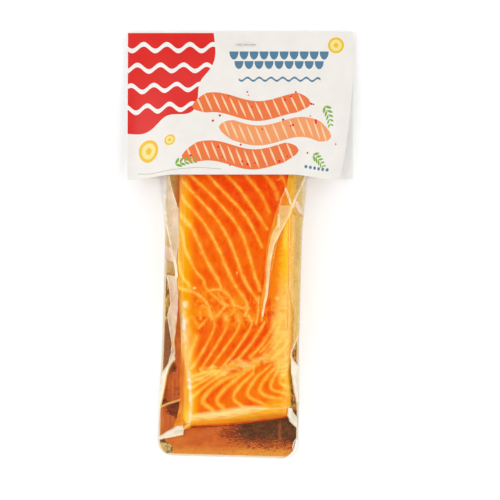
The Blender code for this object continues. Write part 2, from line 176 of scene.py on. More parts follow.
# Facets of film that lie double or stand on edge: (kind of film, corners (across, along) in millimetres)
FACETS = {
    "left_margin": ("margin", ((-53.0, 190.0), (-44.9, 186.0), (-44.8, 170.0), (-45.0, 160.0),
        (-45.6, 152.0), (-49.0, 158.0))),
    "left_tent": ("doubled", ((-44.9, 184.0), (-43.2, 184.0), (-41.5, 176.6), (-39.6, 169.6), (-37.2, 162.8),
        (-35.8, 160.0), (-35.4, 150.0), (-35.2, 137.0), (-36.0, 133.8), (-36.4, 126.0), (-36.2, 121.0),
        (-37.8, 127.0), (-39.2, 132.6), (-40.7, 138.6), (-42.0, 144.0), (-43.6, 151.0), (-45.0, 160.0),
        (-44.8, 170.0))),
    "left_tan": ("hazy", ((-45.2, 156.0), (-43.6, 151.0), (-42.0, 144.0), (-40.7, 138.6), (-39.2, 132.6),
        (-37.8, 127.0), (-45.2, 127.0))),
    "left_blush": ("blush", ((-45.2, 136.4), (-39.8, 134.6), (-38.2, 128.6), (-37.2, 125.4), (-41.4, 126.6),
        (-45.2, 129.6))),
    "left_wave": ("doubled", ((-44.2, 117.6), (-36.0, 116.4), (-35.6, 112.0), (-34.8, 104.0), (-34.6, 96.0),
        (-35.1, 88.8), (-36.0, 80.0), (-36.8, 74.0), (-36.2, 70.6), (-36.0, 66.0), (-38.0, 60.0),
        (-40.2, 57.6), (-39.8, 62.6), (-38.6, 67.6), (-37.9, 72.0), (-38.7, 76.4), (-39.8, 82.0),
        (-40.8, 88.0), (-41.3, 92.0), (-40.2, 95.6), (-39.5, 99.0), (-39.9, 103.0), (-40.7, 109.0),
        (-42.0, 114.6), (-43.8, 118.0))),
    "left_seal": ("milky", ((-39.8, 60.4), (-43.8, 54.0), (-45.2, 47.0), (-45.6, 32.0), (-45.6, 20.0),
        (-44.9, 24.0), (-44.4, 31.6), (-43.0, 38.0), (-41.8, 45.0), (-40.8, 51.4), (-39.6, 56.4),
        (-37.8, 60.0), (-35.8, 62.4), (-36.2, 66.0))),
    "left_flare": ("tinted", ((-31.3, 34.0), (-33.2, 26.0), (-35.6, 19.0), (-28.6, 19.0), (-29.4, 26.0),
        (-30.2, 34.0))),
    "left_lip": ("cream", ((-27.6, 20.8), (-25.2, 22.2), (-24.6, 21.2), (-27.2, 19.4), (-30.0, 15.4),
        (-30.4, 17.0))),
    "left_corner": ("milky", ((-45.2, 11.4), (-34.0, 19.2), (-29.6, 20.6), (-28.8, 18.0), (-29.2, 13.8),
        (-37.6, 11.8), (-44.4, 10.6))),
    "foot_left": ("hazy", ((-42.0, 2.4), (-35.8, 2.0), (-39.6, 8.0), (-41.0, 5.4))),
    "right_tent_left": ("tinted", ((32.4, 173.8), (28.0, 163.5), (26.3, 158.6), (23.9, 148.8), (22.2, 141.0),
        (21.2, 134.0), (20.8, 124.0), (20.4, 114.4), (19.2, 106.0), (18.4, 99.0), (19.6, 93.0),
        (21.2, 100.6), (22.4, 106.0), (29.7, 147.6), (36.9, 162.9), (35.8, 166.0))),
    "right_tent": ("cream", ((29.2, 163.8), (35.6, 163.9), (36.9, 162.9), (35.1, 157.3), (32.0, 151.4),
        (29.2, 145.7), (25.8, 138.6), (24.2, 130.4), (23.4, 124.0), (23.0, 114.4), (22.4, 106.1),
        (21.1, 99.6), (20.2, 99.8), (21.2, 106.3), (21.6, 114.4), (21.8, 124.0), (22.2, 130.4),
        (23.0, 137.4), (23.9, 142.4), (25.2, 147.6), (27.4, 150.6), (28.4, 154.6), (28.8, 160.0))),
    "right_top": ("veil", ((36.9, 162.9), (40.6, 172.2), (46.0, 184.2), (45.4, 158.0), (41.0, 157.0))),
    "right_top_left": ("lemon", ((34.2, 170.0), (32.9, 174.4), (34.2, 184.0), (38.6, 184.0), (38.2, 177.3),
        (36.9, 163.6), (35.8, 166.0))),
    "right_top_pale": ("veil", ((38.6, 184.0), (44.6, 184.0), (40.6, 172.2), (37.2, 164.2), (38.2, 177.3))),
    "right_fan": ("cream", ((36.9, 162.9), (38.6, 168.0), (40.6, 172.2), (41.0, 170.6), (39.4, 166.8),
        (38.8, 162.6))),
    "right_pink": ("blush", ((39.4, 167.2), (41.2, 166.8), (45.2, 161.5), (45.2, 158.2), (42.4, 159.6),
        (39.6, 163.4))),
    "right_column": ("veil", ((37.0, 158.0), (37.0, 112.0), (38.6, 103.0), (40.2, 96.0), (40.4, 82.0),
        (40.0, 72.6), (41.5, 74.4), (43.6, 79.6), (44.8, 88.0), (45.2, 158.0))),
    "right_seal": ("milky", ((39.4, 66.6), (41.0, 64.0), (44.0, 60.4), (45.0, 60.0), (44.9, 37.0),
        (44.0, 37.4), (42.2, 44.4), (41.2, 50.0), (40.4, 56.0), (39.6, 57.0))),
    "right_corner": ("milky", ((38.5, 33.4), (38.3, 28.6), (39.9, 24.6), (44.4, 20.2), (44.6, 22.4),
        (44.2, 27.2), (41.6, 30.4), (40.6, 33.0))),
    "foot_right": ("white", ((36.2, -0.2), (39.6, 2.0), (43.0, 5.6), (43.4, 9.0), (44.3, 12.4), (46.0, 12.4),
        (46.0, -0.2))),
}
# Glints of the tight film, painted on the fish as highlights: across, along, half sizes and strength
GLINTS = (
    (-29.4, 98.8, 3.0, 3.0, 0.60), (-30.4, 85.6, 2.1, 5.2, 0.92), (-23.9, 109.6, 1.1, 0.9, 0.7),
    (3.0, 120.0, 0.7, 1.1, 0.5), (29.4, 104.6, 1.9, 1.6, 0.55), (31.4, 119.6, 1.3, 1.0, 0.42),
    (-25.9, 50.2, 1.9, 2.2, 0.72), (-25.6, 45.8, 1.9, 2.2, 0.78), (-24.5, 27.6, 1.7, 3.4, 0.72),
    (-25.2, 22.8, 1.5, 1.6, 0.62), (33.6, 55.4, 1.6, 1.0, 0.5), (11.0, 34.2, 3.2, 1.0, 0.35),
    (2.0, 30.6, 6.0, 0.9, 0.35),
)
# The film's sheen along the fish's left shoulder, painted on the fish as a highlight: along, across, strength
# and half width
SHEEN = ((19, -25.6, 0.0, 1.5), (22, -25.1, 0.50, 1.5), (29, -24.2, 0.55, 1.6), (39, -24.6, 0.55, 1.7),
    (46, -25.4, 0.62, 1.8), (56, -26.6, 0.50, 2.2), (64, -28.0, 0.44, 3.2), (76, -29.6, 0.50, 4.2),
    (88, -30.6, 0.60, 3.8), (97, -32.0, 0.40, 2.8), (104, -33.0, 0.0, 2.0))

# The fish's pale lines of fat: width in millimetres, strength, then (across, along) in millimetres. A program
# traced them on the photograph, and they were then rounded, cut down and added to.
FAT_LINES = (
    # Long lines of the upper part, from the left edge and the header down to the middle
    (2.3, 0.85, ((-35, 188), (-27, 180), (-19, 173.5), (-10, 164.5), (-1, 155), (5, 146.5), (10, 134),
        (13.5, 121), (18, 109.5))),
    (2.3, 0.95, ((-36.6, 181), (-33, 177), (-21, 165), (-13, 156.5), (-6.5, 148), (-1, 138), (3.5, 126.5),
        (6.5, 118), (11, 110), (16.5, 103))),
    (2.4, 0.95, ((-37, 171), (-33.5, 167), (-23, 156), (-18, 150), (-10, 137), (-1.5, 118), (3, 110.5),
        (9, 102.5), (10.5, 98), (9, 93))),
    (2.7, 0.90, ((-37, 159.5), (-33.5, 155), (-28.5, 150), (-25, 145.5), (-20, 134), (-14.5, 123.5),
        (-8, 113.5), (-7, 109.5))),
    (2.3, 0.92, ((-37, 152), (-34, 147.5), (-32.2, 143), (-31.4, 136), (-27.5, 128), (-24, 120.5),
        (-18, 115), (-17, 110.5), (-15, 108))),
    (2.1, 0.85, ((-30, 196), (-15, 179.5), (-5.5, 170), (4.5, 160.5), (11, 151.5), (18.5, 137))),
    (2.0, 0.75, ((-20, 198), (-8, 184.5), (2.5, 174.5), (8, 167), (17.5, 154), (21.5, 148.5))),
    (2.2, 0.50, ((-7, 198), (4, 186), (11, 177.5), (18, 169.5), (22.5, 159))),
    (2.2, 0.40, ((6, 199), (15, 188), (22, 179.5), (26, 174))),
    (2.4, 0.45, ((19, 199), (27, 188), (31, 180))),
    (1.2, 0.55, ((27.5, 180), (29.5, 181.5), (31.5, 179.5), (32.6, 175.6))),
    (2.8, 0.50, ((27.2, 171.6), (27.8, 168))),
    (2.6, 0.75, ((-37, 130), (-34.5, 124), (-32, 116), (-28, 112.5), (-26.5, 110))),
    # The middle, where the flakes turn
    (2.8, 1.0, ((-36.5, 110), (-34, 109), (-27.5, 108), (-22, 106), (-18, 103), (-15, 99), (-13, 94))),
    (2.8, 0.92, ((-15, 108), (-11, 109), (-6.5, 109), (-2.5, 106.5), (0, 102.5), (2, 99))),
    (2.6, 0.75, ((-13.5, 107), (-8.5, 103), (-5, 99.5), (-2.5, 99))),
    (2.6, 0.75, ((4.5, 98.5), (7, 97.5), (11, 97.5))),
    (2.6, 0.85, ((17, 104.5), (17.5, 99), (17, 93), (16, 88))),
    (2.6, 0.75, ((21.5, 107), (21, 101), (19.8, 95), (19.5, 90))),
    (2.2, 0.70, ((-11, 104.5), (-8, 102), (-5.5, 100.5), (-3, 99.5))),
    (2.0, 0.70, ((-8.5, 106.5), (-6.5, 103), (-5, 100))),
    (2.4, 0.70, ((-4, 99), (-6, 95), (-9.5, 92))),
    (2.2, 0.70, ((2.5, 99.5), (5.5, 98), (9.5, 98.5))),
    (2.2, 0.65, ((3, 97), (1, 94.5), (-1.5, 92.5))),
    (2.2, 0.70, ((-18.5, 98), (-15, 97.5), (-13.5, 94))),
    (2.2, 0.65, ((-20, 94.5), (-19.5, 90))),
    (1.8, 0.55, ((-15.5, 90), (-18, 87), (-20.5, 84))),
    (2.2, 0.45, ((-25, 91), (-22.5, 88), (-20.5, 84.5))),
    (5.4, 1.0, ((-13, 92.5), (-12, 90))),
    (4.8, 1.0, ((-3.4, 93), (-2.6, 90))),
    (4.4, 0.95, ((4.6, 92), (5.2, 89.5))),
    (4.0, 1.0, ((11.6, 93), (12.8, 90))),
    # Lines that run down to the left, below the middle
    (3.2, 0.92, ((-21.5, 79), (-22.5, 75), (-27, 64.5))),
    (2.0, 0.70, ((-11, 89), (-10, 85), (-14, 76), (-19, 66.5), (-24.5, 58))),
    (1.9, 0.80, ((-2, 90), (-2.5, 85), (-7, 76.5), (-13, 66.5), (-18.5, 57.5))),
    (1.9, 0.80, ((5.5, 89), (4.8, 84), (-1, 75), (-8, 65), (-12, 59))),
    (1.9, 0.88, ((13.5, 88.5), (12, 83.5), (5.5, 73.5), (-0.5, 64.5), (-5.5, 59))),
    (2.1, 0.80, ((21.5, 89), (15, 77), (5.5, 65))),
    (2.5, 0.70, ((28, 89), (25, 82), (19, 72.5), (13, 66.5))),
    (3.2, 0.45, ((28.5, 78.5), (22.5, 69))),
    # Streaks of the pale area on the right
    (2.0, 0.60, ((19, 69.5), (25, 76), (30, 84), (32.5, 92))),
    (1.9, 0.60, ((24, 68), (29.5, 74), (34.5, 83))),
    (2.2, 0.75, ((27, 66), (32, 70), (37, 77))),
    (1.6, 0.70, ((29, 62.5), (34, 64.5), (39, 68))),
    (1.5, 0.70, ((29.5, 59.6), (35, 61), (39, 62.4))),
    (1.5, 0.60, ((33, 57.6), (36, 58.4), (39, 58.6))),
    # Chevrons at the foot
    (1.5, 0.70, ((-11, 57), (-18, 55), (-25.5, 52.5))),
    (1.5, 0.75, ((-9.5, 57), (-16.5, 52.5), (-25.5, 48.6))),
    (1.9, 0.85, ((-6.5, 57), (-13.5, 52), (-20, 48), (-25.5, 44.6))),
    (2.1, 0.85, ((-3, 56), (-11, 50.5), (-18.5, 44.5), (-25, 37.5))),
    (2.3, 0.75, ((5.5, 55), (-2.5, 52.5), (-12, 45), (-17, 38.5), (-16.5, 35.5), (-10, 31.5))),
    (2.3, 0.72, ((9, 56), (4, 51.5), (-2, 46.5), (-8, 39), (-7, 35.5), (-3.5, 33.5))),
    (2.0, 0.82, ((15, 56), (7, 48), (3, 42.5), (3, 38.5), (8.5, 34.5))),
    (2.0, 0.72, ((18.5, 55), (13.5, 48), (11.5, 43), (13.5, 40), (20, 37.5), (25, 34.5))),
    (1.6, 0.85, ((26, 61.5), (20, 56), (18.5, 55))),
    (2.0, 0.78, ((29, 60), (23, 53.5), (19.5, 47), (20, 43.5), (25, 41), (33.5, 40))),
    (1.8, 0.72, ((31, 65), (31.5, 59.5), (27, 51), (26.5, 47), (28.5, 45), (35, 44), (38, 42))),
    (2.3, 0.76, ((35.5, 56), (33, 54), (32, 50.5), (36.5, 48), (39, 46.5))),
    (2.4, 0.50, ((7, 56.5), (13, 59))),
    (1.8, 0.55, ((15.5, 60.5), (15, 56))),
)


def clamp(value):
    return np.clip(value, 0.0, 1.0)


def ease(low, high, value):
    """0 below low, 1 above high, and a smooth climb between."""
    share = clamp((value - low) / (high - low))
    return share * share * (3 - 2 * share)


def soft_min(first, second, softness):
    """The lower of two heights, with the corner between them rounded off."""
    overlap = np.maximum(softness - np.abs(first - second), 0) / softness
    return np.minimum(first, second) - overlap * overlap * softness / 4


def srgb(red, green, blue):
    """An 8-bit display colour as the linear colour that a shader takes."""
    channels = [c / 255 for c in (red, green, blue)]
    linear = [c / 12.92 if c <= 0.04045 else ((c + 0.055) / 1.055) ** 2.4 for c in channels]
    return (*linear, 1.0)


def wander(points, scale, seed):
    """Smooth noise between about -1 and 1 at points, with features of the given size."""
    offset = Vector((seed * 7.31, seed * 3.17, seed * 1.93))
    return np.array([noise.noise(Vector(p) / scale + offset) for p in points])


# The pouch's form, as in its solid


def to_pack(across, along):
    x = POUCH_FOOT_X + across * math.cos(POUCH_TURN) + along * math.sin(POUCH_TURN)
    y = FOOT_Y - across * math.sin(POUCH_TURN) + along * math.cos(POUCH_TURN)
    return x, y


def pouch_edges(along):
    into_corner = np.maximum(BOARD_CORNER - along, 0)
    half = BOARD_HALF_WIDTH - BOARD_CORNER + np.sqrt(np.maximum(BOARD_CORNER**2 - into_corner**2, 0))
    half = half - BOARD_WAIST * ease(0.02, 0.08, along)
    spread = ease(0.140, 0.200, along)
    return -half - spread * FILM_SPREAD_LEFT, half + spread * FILM_SPREAD_RIGHT


def back_flap_top(y):
    return CARD + BACK_LIFT * ease(FLAP_EDGE_Y, FOLD_Y - STAPLE_DROP - STAPLE_HOOK, y)


def pouch_underside(y, along):
    climb = clamp((along - RAMP_START) / (FLAP_EDGE_Y - FOOT_Y - 0.004 - RAMP_START))
    return climb * (back_flap_top(y) + CLEARANCE)


def fish_left_base(along):
    lower_half = ease(0.105, 0.070, along)
    return FISH_LEFT + 0.4 * LEAN * lower_half * ease(0.018, 0.035, along)


def fish_foot_line(across):
    foot_share = clamp((across + 0.0290) / (FISH_RIGHT + 0.0290))
    return FISH_FOOT_LEFT + (FISH_FOOT_RIGHT - FISH_FOOT_LEFT) * foot_share


def fish_height(across, along):
    grow = clamp((along - FISH_FOOT_LEFT) / (LOIN_ALONG - FISH_FOOT_LEFT))
    top = BELLY_HEIGHT + (LOIN_HEIGHT - BELLY_HEIGHT) * np.sin(0.5 * np.pi * grow)
    top = top + FISH_CROWN * (1 - ((across - FISH_MIDDLE) / (FISH_RIGHT - FISH_MIDDLE)) ** 2)
    left = (across - fish_left_base(along)) / (0.0030 + LEAN * ease(0.105, 0.070, along))
    right = (FISH_RIGHT - across) / 0.0050
    foot = (along - fish_foot_line(across)) / FOOT_RUN * BELLY_HEIGHT
    end = (FISH_END - along) / END_RUN * LOIN_HEIGHT
    sides = soft_min(left * top, right * top, SHOULDER)
    ends = soft_min(foot, end, SHOULDER)
    return np.maximum(soft_min(soft_min(top, sides, SHOULDER), ends, SHOULDER), 0.0)


def film_slopes(across, along):
    slopes = []
    for touch, shoulder in ((LEFT_TOUCH, SHOULDER_LEFT), (RIGHT_TOUCH, SHOULDER_RIGHT)):
        shoulder_height = fish_height(np.full_like(across, shoulder), along)
        touch_across = np.interp(along, *zip(*touch))
        share = clamp((across - touch_across) / (shoulder - touch_across))
        slopes.append(shoulder_height * share**FILM_SAG)
    return np.minimum(*slopes)


def film_tail(across, along):
    tail_start = FISH_END - END_RUN
    fall = clamp((TAIL_END - along) / (TAIL_END - tail_start))
    left_edge, right_edge = pouch_edges(along)
    aside = np.where(across < FISH_MIDDLE, (FISH_MIDDLE - across) / (FISH_MIDDLE - left_edge),
                     (across - FISH_MIDDLE) / (right_edge - FISH_MIDDLE))
    level = clamp(1.0 - aside**3)
    return np.where(along > tail_start, 0.92 * LOIN_HEIGHT * fall**FILM_SAG * level, 0.0)


def fold_profile(across, along, bends, half_width):
    """Height of a standing fold and distance from its line, in metres, from bends in millimetres."""
    height = np.zeros_like(across)
    nearest = np.full_like(across, np.inf)
    for (a0, l0, h0), (a1, l1, h1) in zip(bends, bends[1:]):
        run_a, run_l = (a1 - a0) * MM, (l1 - l0) * MM
        share = clamp(((across - a0 * MM) * run_a + (along - l0 * MM) * run_l) / (run_a**2 + run_l**2))
        apart = np.hypot(across - a0 * MM - share * run_a, along - l0 * MM - share * run_l)
        height = np.maximum(height, (h0 + share * (h1 - h0)) * MM * clamp(1 - apart / (half_width * MM)))
        nearest = np.minimum(nearest, apart)
    return height, nearest


def film_height(across, along):
    """Height of the film's upper face above the surface that the pack lies on."""
    y = to_pack(across, along)[1]
    slab = BOARD_SLAB + (FILM_SLAB - BOARD_SLAB) * ease(BOARD_END - 0.004, BOARD_END + 0.004, along)
    base = np.maximum(fish_height(across, along), film_slopes(across, along))
    base = np.maximum(base, film_tail(across, along))
    folds = np.zeros_like(across)
    for half_width, _, _, bends in FOLDS.values():
        folds = np.maximum(folds, fold_profile(across, along, bends, half_width)[0])
    left_edge, right_edge = pouch_edges(along)
    inset = np.minimum(np.minimum(across - left_edge, right_edge - across), along)
    return pouch_underside(y, along) + slab + (base + folds) * ease(0.0, 0.0020, inset)


# Mesh helpers


def piece_from(name, vertices, faces, materials, face_materials=None, sharp_degrees=40):
    """One shaded mesh piece that rides on the pack."""
    mesh = bpy.data.meshes.new(name)
    mesh.from_pydata([tuple(map(float, v)) for v in vertices], [], faces)
    for material in materials:
        mesh.materials.append(material)
    if face_materials is not None:
        mesh.polygons.foreach_set("material_index", np.asarray(face_materials, np.int32))
    mesh.shade_smooth()
    mesh.set_sharp_from_angle(angle=math.radians(sharp_degrees))
    mesh.update()
    piece = bpy.data.objects.new(name, mesh)
    bpy.context.scene.collection.objects.link(piece)
    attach(piece, "root")
    return piece


def set_attribute(piece, name, values):
    """A number, or a row of three, for each vertex."""
    values = np.asarray(values, np.float32)
    if values.ndim == 1:
        piece.data.attributes.new(name, "FLOAT", "POINT").data.foreach_set("value", values)
    else:
        piece.data.attributes.new(name, "FLOAT_VECTOR", "POINT").data.foreach_set("vector", values.ravel())


def inside(points, polygon):
    """Which points lie inside a polygon."""
    x, y = np.asarray(points).T
    within = np.zeros(len(x), bool)
    px, py = np.asarray(polygon, float).T
    for i in range(len(px)):
        x0, y0, x1, y1 = px[i - 1], py[i - 1], px[i], py[i]
        crosses = (y0 > y) != (y1 > y)
        if y1 != y0:
            within ^= crosses & (x < (x1 - x0) * (y - y0) / (y1 - y0) + x0)
    return within


def triangulate(outline, loose, lines):
    """Triangles of the area inside an outline, with loose points and lines as extra corners and edges."""
    points = [Vector(p) for p in outline]
    rim = list(range(len(points)))
    edges = []
    for line, closed in lines:
        start = len(points)
        points += [Vector(p) for p in line]
        edges += [(i, i + 1) for i in range(start, len(points) - 1)]
        if closed:
            edges.append((len(points) - 1, start))
    points += [Vector(p) for p in loose]
    flat, _, faces, _, _, _ = geometry.delaunay_2d_cdt(points, edges, [rim], 1, 1e-4)
    middles = [sum((flat[i] for i in face), Vector((0, 0))) / len(face) for face in faces]
    faces = [face for face, within in zip(faces, inside([tuple(m) for m in middles], outline)) if within]
    used = sorted({i for face in faces for i in face})
    place = {old: new for new, old in enumerate(used)}
    return np.array([tuple(flat[i]) for i in used]), [tuple(place[i] for i in face) for face in faces]


def rim_of(faces):
    """Edges that only one face has, each in its face's direction."""
    directed = {(f[i - 1], f[i]) for f in faces for i in range(len(f))}
    return [(a, b) for a, b in directed if (b, a) not in directed]


def hex_points(low, high, step):
    """Points over a rectangle on a triangular grid."""
    points = []
    rows = int((high[1] - low[1]) / (step * 0.866))
    for row in range(rows + 1):
        shift = step / 2 if row % 2 else 0.0
        columns = int((high[0] - low[0] - shift) / step)
        y = low[1] + row * step * 0.866
        points += [(low[0] + shift + column * step, y) for column in range(columns + 1)]
    return np.array(points)


# Material helpers


class Graph:
    """The nodes of one material, added one after another."""

    def __init__(self, name):
        self.material = bpy.data.materials.new(name)
        self.material.use_nodes = True
        self.tree = self.material.node_tree
        self.tree.nodes.clear()

    def add(self, kind, inputs=None, **settings):
        node = self.tree.nodes.new(kind)
        for key, value in settings.items():
            setattr(node, key, value)
        for key, value in (inputs or {}).items():
            if isinstance(value, bpy.types.NodeSocket):
                self.tree.links.new(value, node.inputs[key])
            else:
                node.inputs[key].default_value = value
        return node

    def math(self, operation, first, second=0.0, third=0.0):
        node = self.add("ShaderNodeMath", {0: first, 1: second, 2: third}, operation=operation)
        return node.outputs[0]

    def times(self, first, second):
        return self.math("MULTIPLY", first, second)

    def plus(self, first, second):
        return self.math("ADD", first, second)

    def spread(self, value, low, high, out_low=0.0, out_high=1.0):
        """Smooth step of a value between two bounds."""
        inputs = {"Value": value, "From Min": low, "From Max": high, "To Min": out_low, "To Max": out_high}
        return self.add("ShaderNodeMapRange", inputs, interpolation_type="SMOOTHSTEP").outputs[0]

    def mix(self, share, first, second, blend_type="MIX"):
        return self.add("ShaderNodeMixRGB", {0: share, 1: first, 2: second},
            blend_type=blend_type).outputs[0]

    def place(self):
        return self.add("ShaderNodeTexCoord").outputs["Object"]

    def stretched(self, scale, turn=0.0):
        """The place, turned about Z and scaled along each axis."""
        inputs = {"Vector": self.place(), "Rotation": (0, 0, turn), "Scale": scale}
        return self.add("ShaderNodeMapping", inputs).outputs[0]

    def noise(self, size, detail=2.0, roughness=0.5, place=None, distortion=0.0):
        """Noise around 0.5 with features of the given size in metres."""
        inputs = {"Vector": place or self.place(), "Scale": 1 / size, "Detail": detail,
                  "Roughness": roughness, "Distortion": distortion}
        return self.add("ShaderNodeTexNoise", inputs).outputs[0]

    def attribute(self, name, output="Fac"):
        return self.add("ShaderNodeAttribute", attribute_name=name).outputs[output]

    def bump(self, height, distance, strength=1.0):
        inputs = {"Height": height, "Distance": distance, "Strength": strength}
        return self.add("ShaderNodeBump", inputs).outputs[0]

    def principled(self, inputs):
        return self.add("ShaderNodeBsdfPrincipled", inputs).outputs[0]

    def finish(self, surface):
        self.add("ShaderNodeOutputMaterial", {"Surface": surface})
        return self.material


# Header card


def front_flap_height(u, v):
    climb = FLAP_RISE * clamp((v - FLAT_DROP) / (FLAP_DROP - FLAT_DROP))
    climb = climb * (0.35 + 0.65 * ease(FLAT_DROP, FLAT_DROP + FLAP_BEND, v))
    side = clamp((np.abs(u) - CREST_HALF_WIDTH) / (PACK_WIDTH / 2 - CREST_HALF_WIDTH))
    level = CORNER_RISE + (1 - CORNER_RISE) * 0.5 * (1 + np.cos(np.pi * side))
    return 1.5 * CARD + BACK_LIFT + FOLD_GAP + climb * level


def shrunk_steps(flat, height, axis):
    """Distances along one axis of a sheet that was flat, after it has climbed without being stretched."""
    steps = np.sqrt(np.diff(flat, axis=axis) ** 2 - np.diff(height, axis=axis) ** 2)
    run = np.cumsum(steps, axis=axis)
    return np.concatenate([np.zeros_like(run.take([0], axis=axis)), run], axis=axis)


FOLD_LOW = CARD / 2 + BACK_LIFT
FOLD_RADIUS = (front_flap_height(0.0, 0.0) - FOLD_LOW) / 2
FOLD_AXIS_Y = FOLD_Y - CARD / 2 - FOLD_RADIUS
TURN_LENGTH = math.pi * FOLD_RADIUS
BACK_LENGTH = FOLD_AXIS_Y - FLAP_EDGE_Y


class CardForm:
    """The card's middle layer. A point on the card is (u, v): u across it, v down the front from the fold,
    and below 0 round the fold and down the back."""

    def __init__(self):
        self.u = np.linspace(-PACK_WIDTH / 2, PACK_WIDTH / 2, 147)
        front_v = np.linspace(0, FLAP_DROP, 97)
        flat_u, flat_v = np.meshgrid(self.u, front_v)
        height = front_flap_height(flat_u, flat_v)
        x = shrunk_steps(flat_u, height, 1) - PACK_WIDTH / 2
        front = np.stack([x, FOLD_AXIS_Y - shrunk_steps(flat_v, height, 0), height], axis=-1)

        angles = np.linspace(np.pi, 0, 13)[:-1]
        turn_u, turn = np.meshgrid(self.u, angles)
        around = np.stack([turn_u, FOLD_AXIS_Y + FOLD_RADIUS * np.sin(turn),
                           FOLD_LOW + FOLD_RADIUS * (1 + np.cos(turn))], axis=-1)
        down = np.linspace(BACK_LENGTH, 0, 40)[:-1]
        back_u, back = np.meshgrid(self.u, down)
        behind = np.stack([back_u, FOLD_AXIS_Y - back, back_flap_top(FOLD_AXIS_Y - back) - CARD / 2],
            axis=-1)

        self.v = np.concatenate([-TURN_LENGTH - down, -FOLD_RADIUS * angles, front_v])
        self.middle = np.concatenate([behind, around, front])
        across = np.gradient(self.middle, axis=1)
        normal = np.cross(np.gradient(self.middle, axis=0), across)
        self.normal = normal / np.linalg.norm(normal, axis=-1, keepdims=True)

    def at(self, u, v, lift):
        """Points at (u, v), lifted off the middle layer along the outward normal."""
        column = np.interp(u, self.u, np.arange(len(self.u)))
        row = np.interp(v, self.v, np.arange(len(self.v)))
        c0 = np.minimum(column.astype(int), len(self.u) - 2)
        r0 = np.minimum(row.astype(int), len(self.v) - 2)
        fc, fr = (column - c0)[:, None], (row - r0)[:, None]
        out = []
        for grid in (self.middle, self.normal):
            out.append(grid[r0, c0] * (1 - fc) * (1 - fr) + grid[r0, c0 + 1] * fc * (1 - fr)
                       + grid[r0 + 1, c0] * (1 - fc) * fr + grid[r0 + 1, c0 + 1] * fc * fr)
        place, normal = out
        return place + normal / np.linalg.norm(normal, axis=-1, keepdims=True) * lift


# The print is generic. Its points are in millimetres: u to the right of the card's middle, v down from the
# fold.


def wave_band(left, right, middle, thickness, height, length, phase=0.0, points=60, taper=0.0):
    """A band that runs across in waves. With a taper its ends narrow to a point over that length."""
    u = np.linspace(left, right, points)
    centre = middle + height * np.sin(2 * np.pi * (u - left) / length + phase)
    half = np.full_like(u, thickness / 2)
    if taper:
        half = half * np.sqrt(clamp((u - left + 0.05) / taper)) * np.sqrt(clamp((right - u + 0.05) / taper))
    return [*zip(u, centre - half), *zip(u[::-1], (centre + half)[::-1])]


def disc(u, v, radius, points=20, squash=1.0):
    angles = 2 * np.pi * np.arange(points) / points
    return [(u + radius * math.cos(a), v + squash * radius * math.sin(a)) for a in angles]


def scale_shape(u, v, width, height):
    """A fish's scale: a flat top with a round foot."""
    angles = np.linspace(0, np.pi, 15)
    return [(u + width / 2 * math.cos(a), v + height * math.sin(a)) for a in angles]


def leaf(u, v, length, width, turn):
    """A pointed leaf that starts at (u, v)."""
    shape = []
    for side in (1, -1):
        for step in range(9):
            t = step / 9 if side == 1 else 1 - step / 9
            shape.append((t * length, side * width / 2 * math.sin(math.pi * t) ** 0.8))
    c, s = math.cos(turn), math.sin(turn)
    return [(u + a * c - b * s, v + a * s + b * c) for a, b in shape]


def corner_panel():
    """The coloured corner: a wavy edge from the card's top edge round to its left edge."""
    edge = []
    for step in range(61):
        angle = 0.5 * math.pi * step / 60
        swell = 1 + 0.055 * math.sin(9 * angle + 0.6)
        edge.append((-73 + 54 * swell * math.cos(angle) ** 0.72, 63 * swell * math.sin(angle) ** 0.72))
    return [(-74, -1), (edge[0][0], -1), *edge, (-74, edge[-1][1])]


def sprig(u, v, length, turn):
    """A curved stem's leaves, in pairs."""
    leaves = []
    for step in range(1, 6):
        share = step / 5
        along = length * share
        bend = turn + 0.25 * share
        base = (u + along * math.cos(bend), v + along * math.sin(bend))
        size = 5.4 * (1 - 0.45 * share)
        leaves += [leaf(*base, size, size * 0.36, bend + side * 0.75) for side in (-1, 1)]
    return leaves


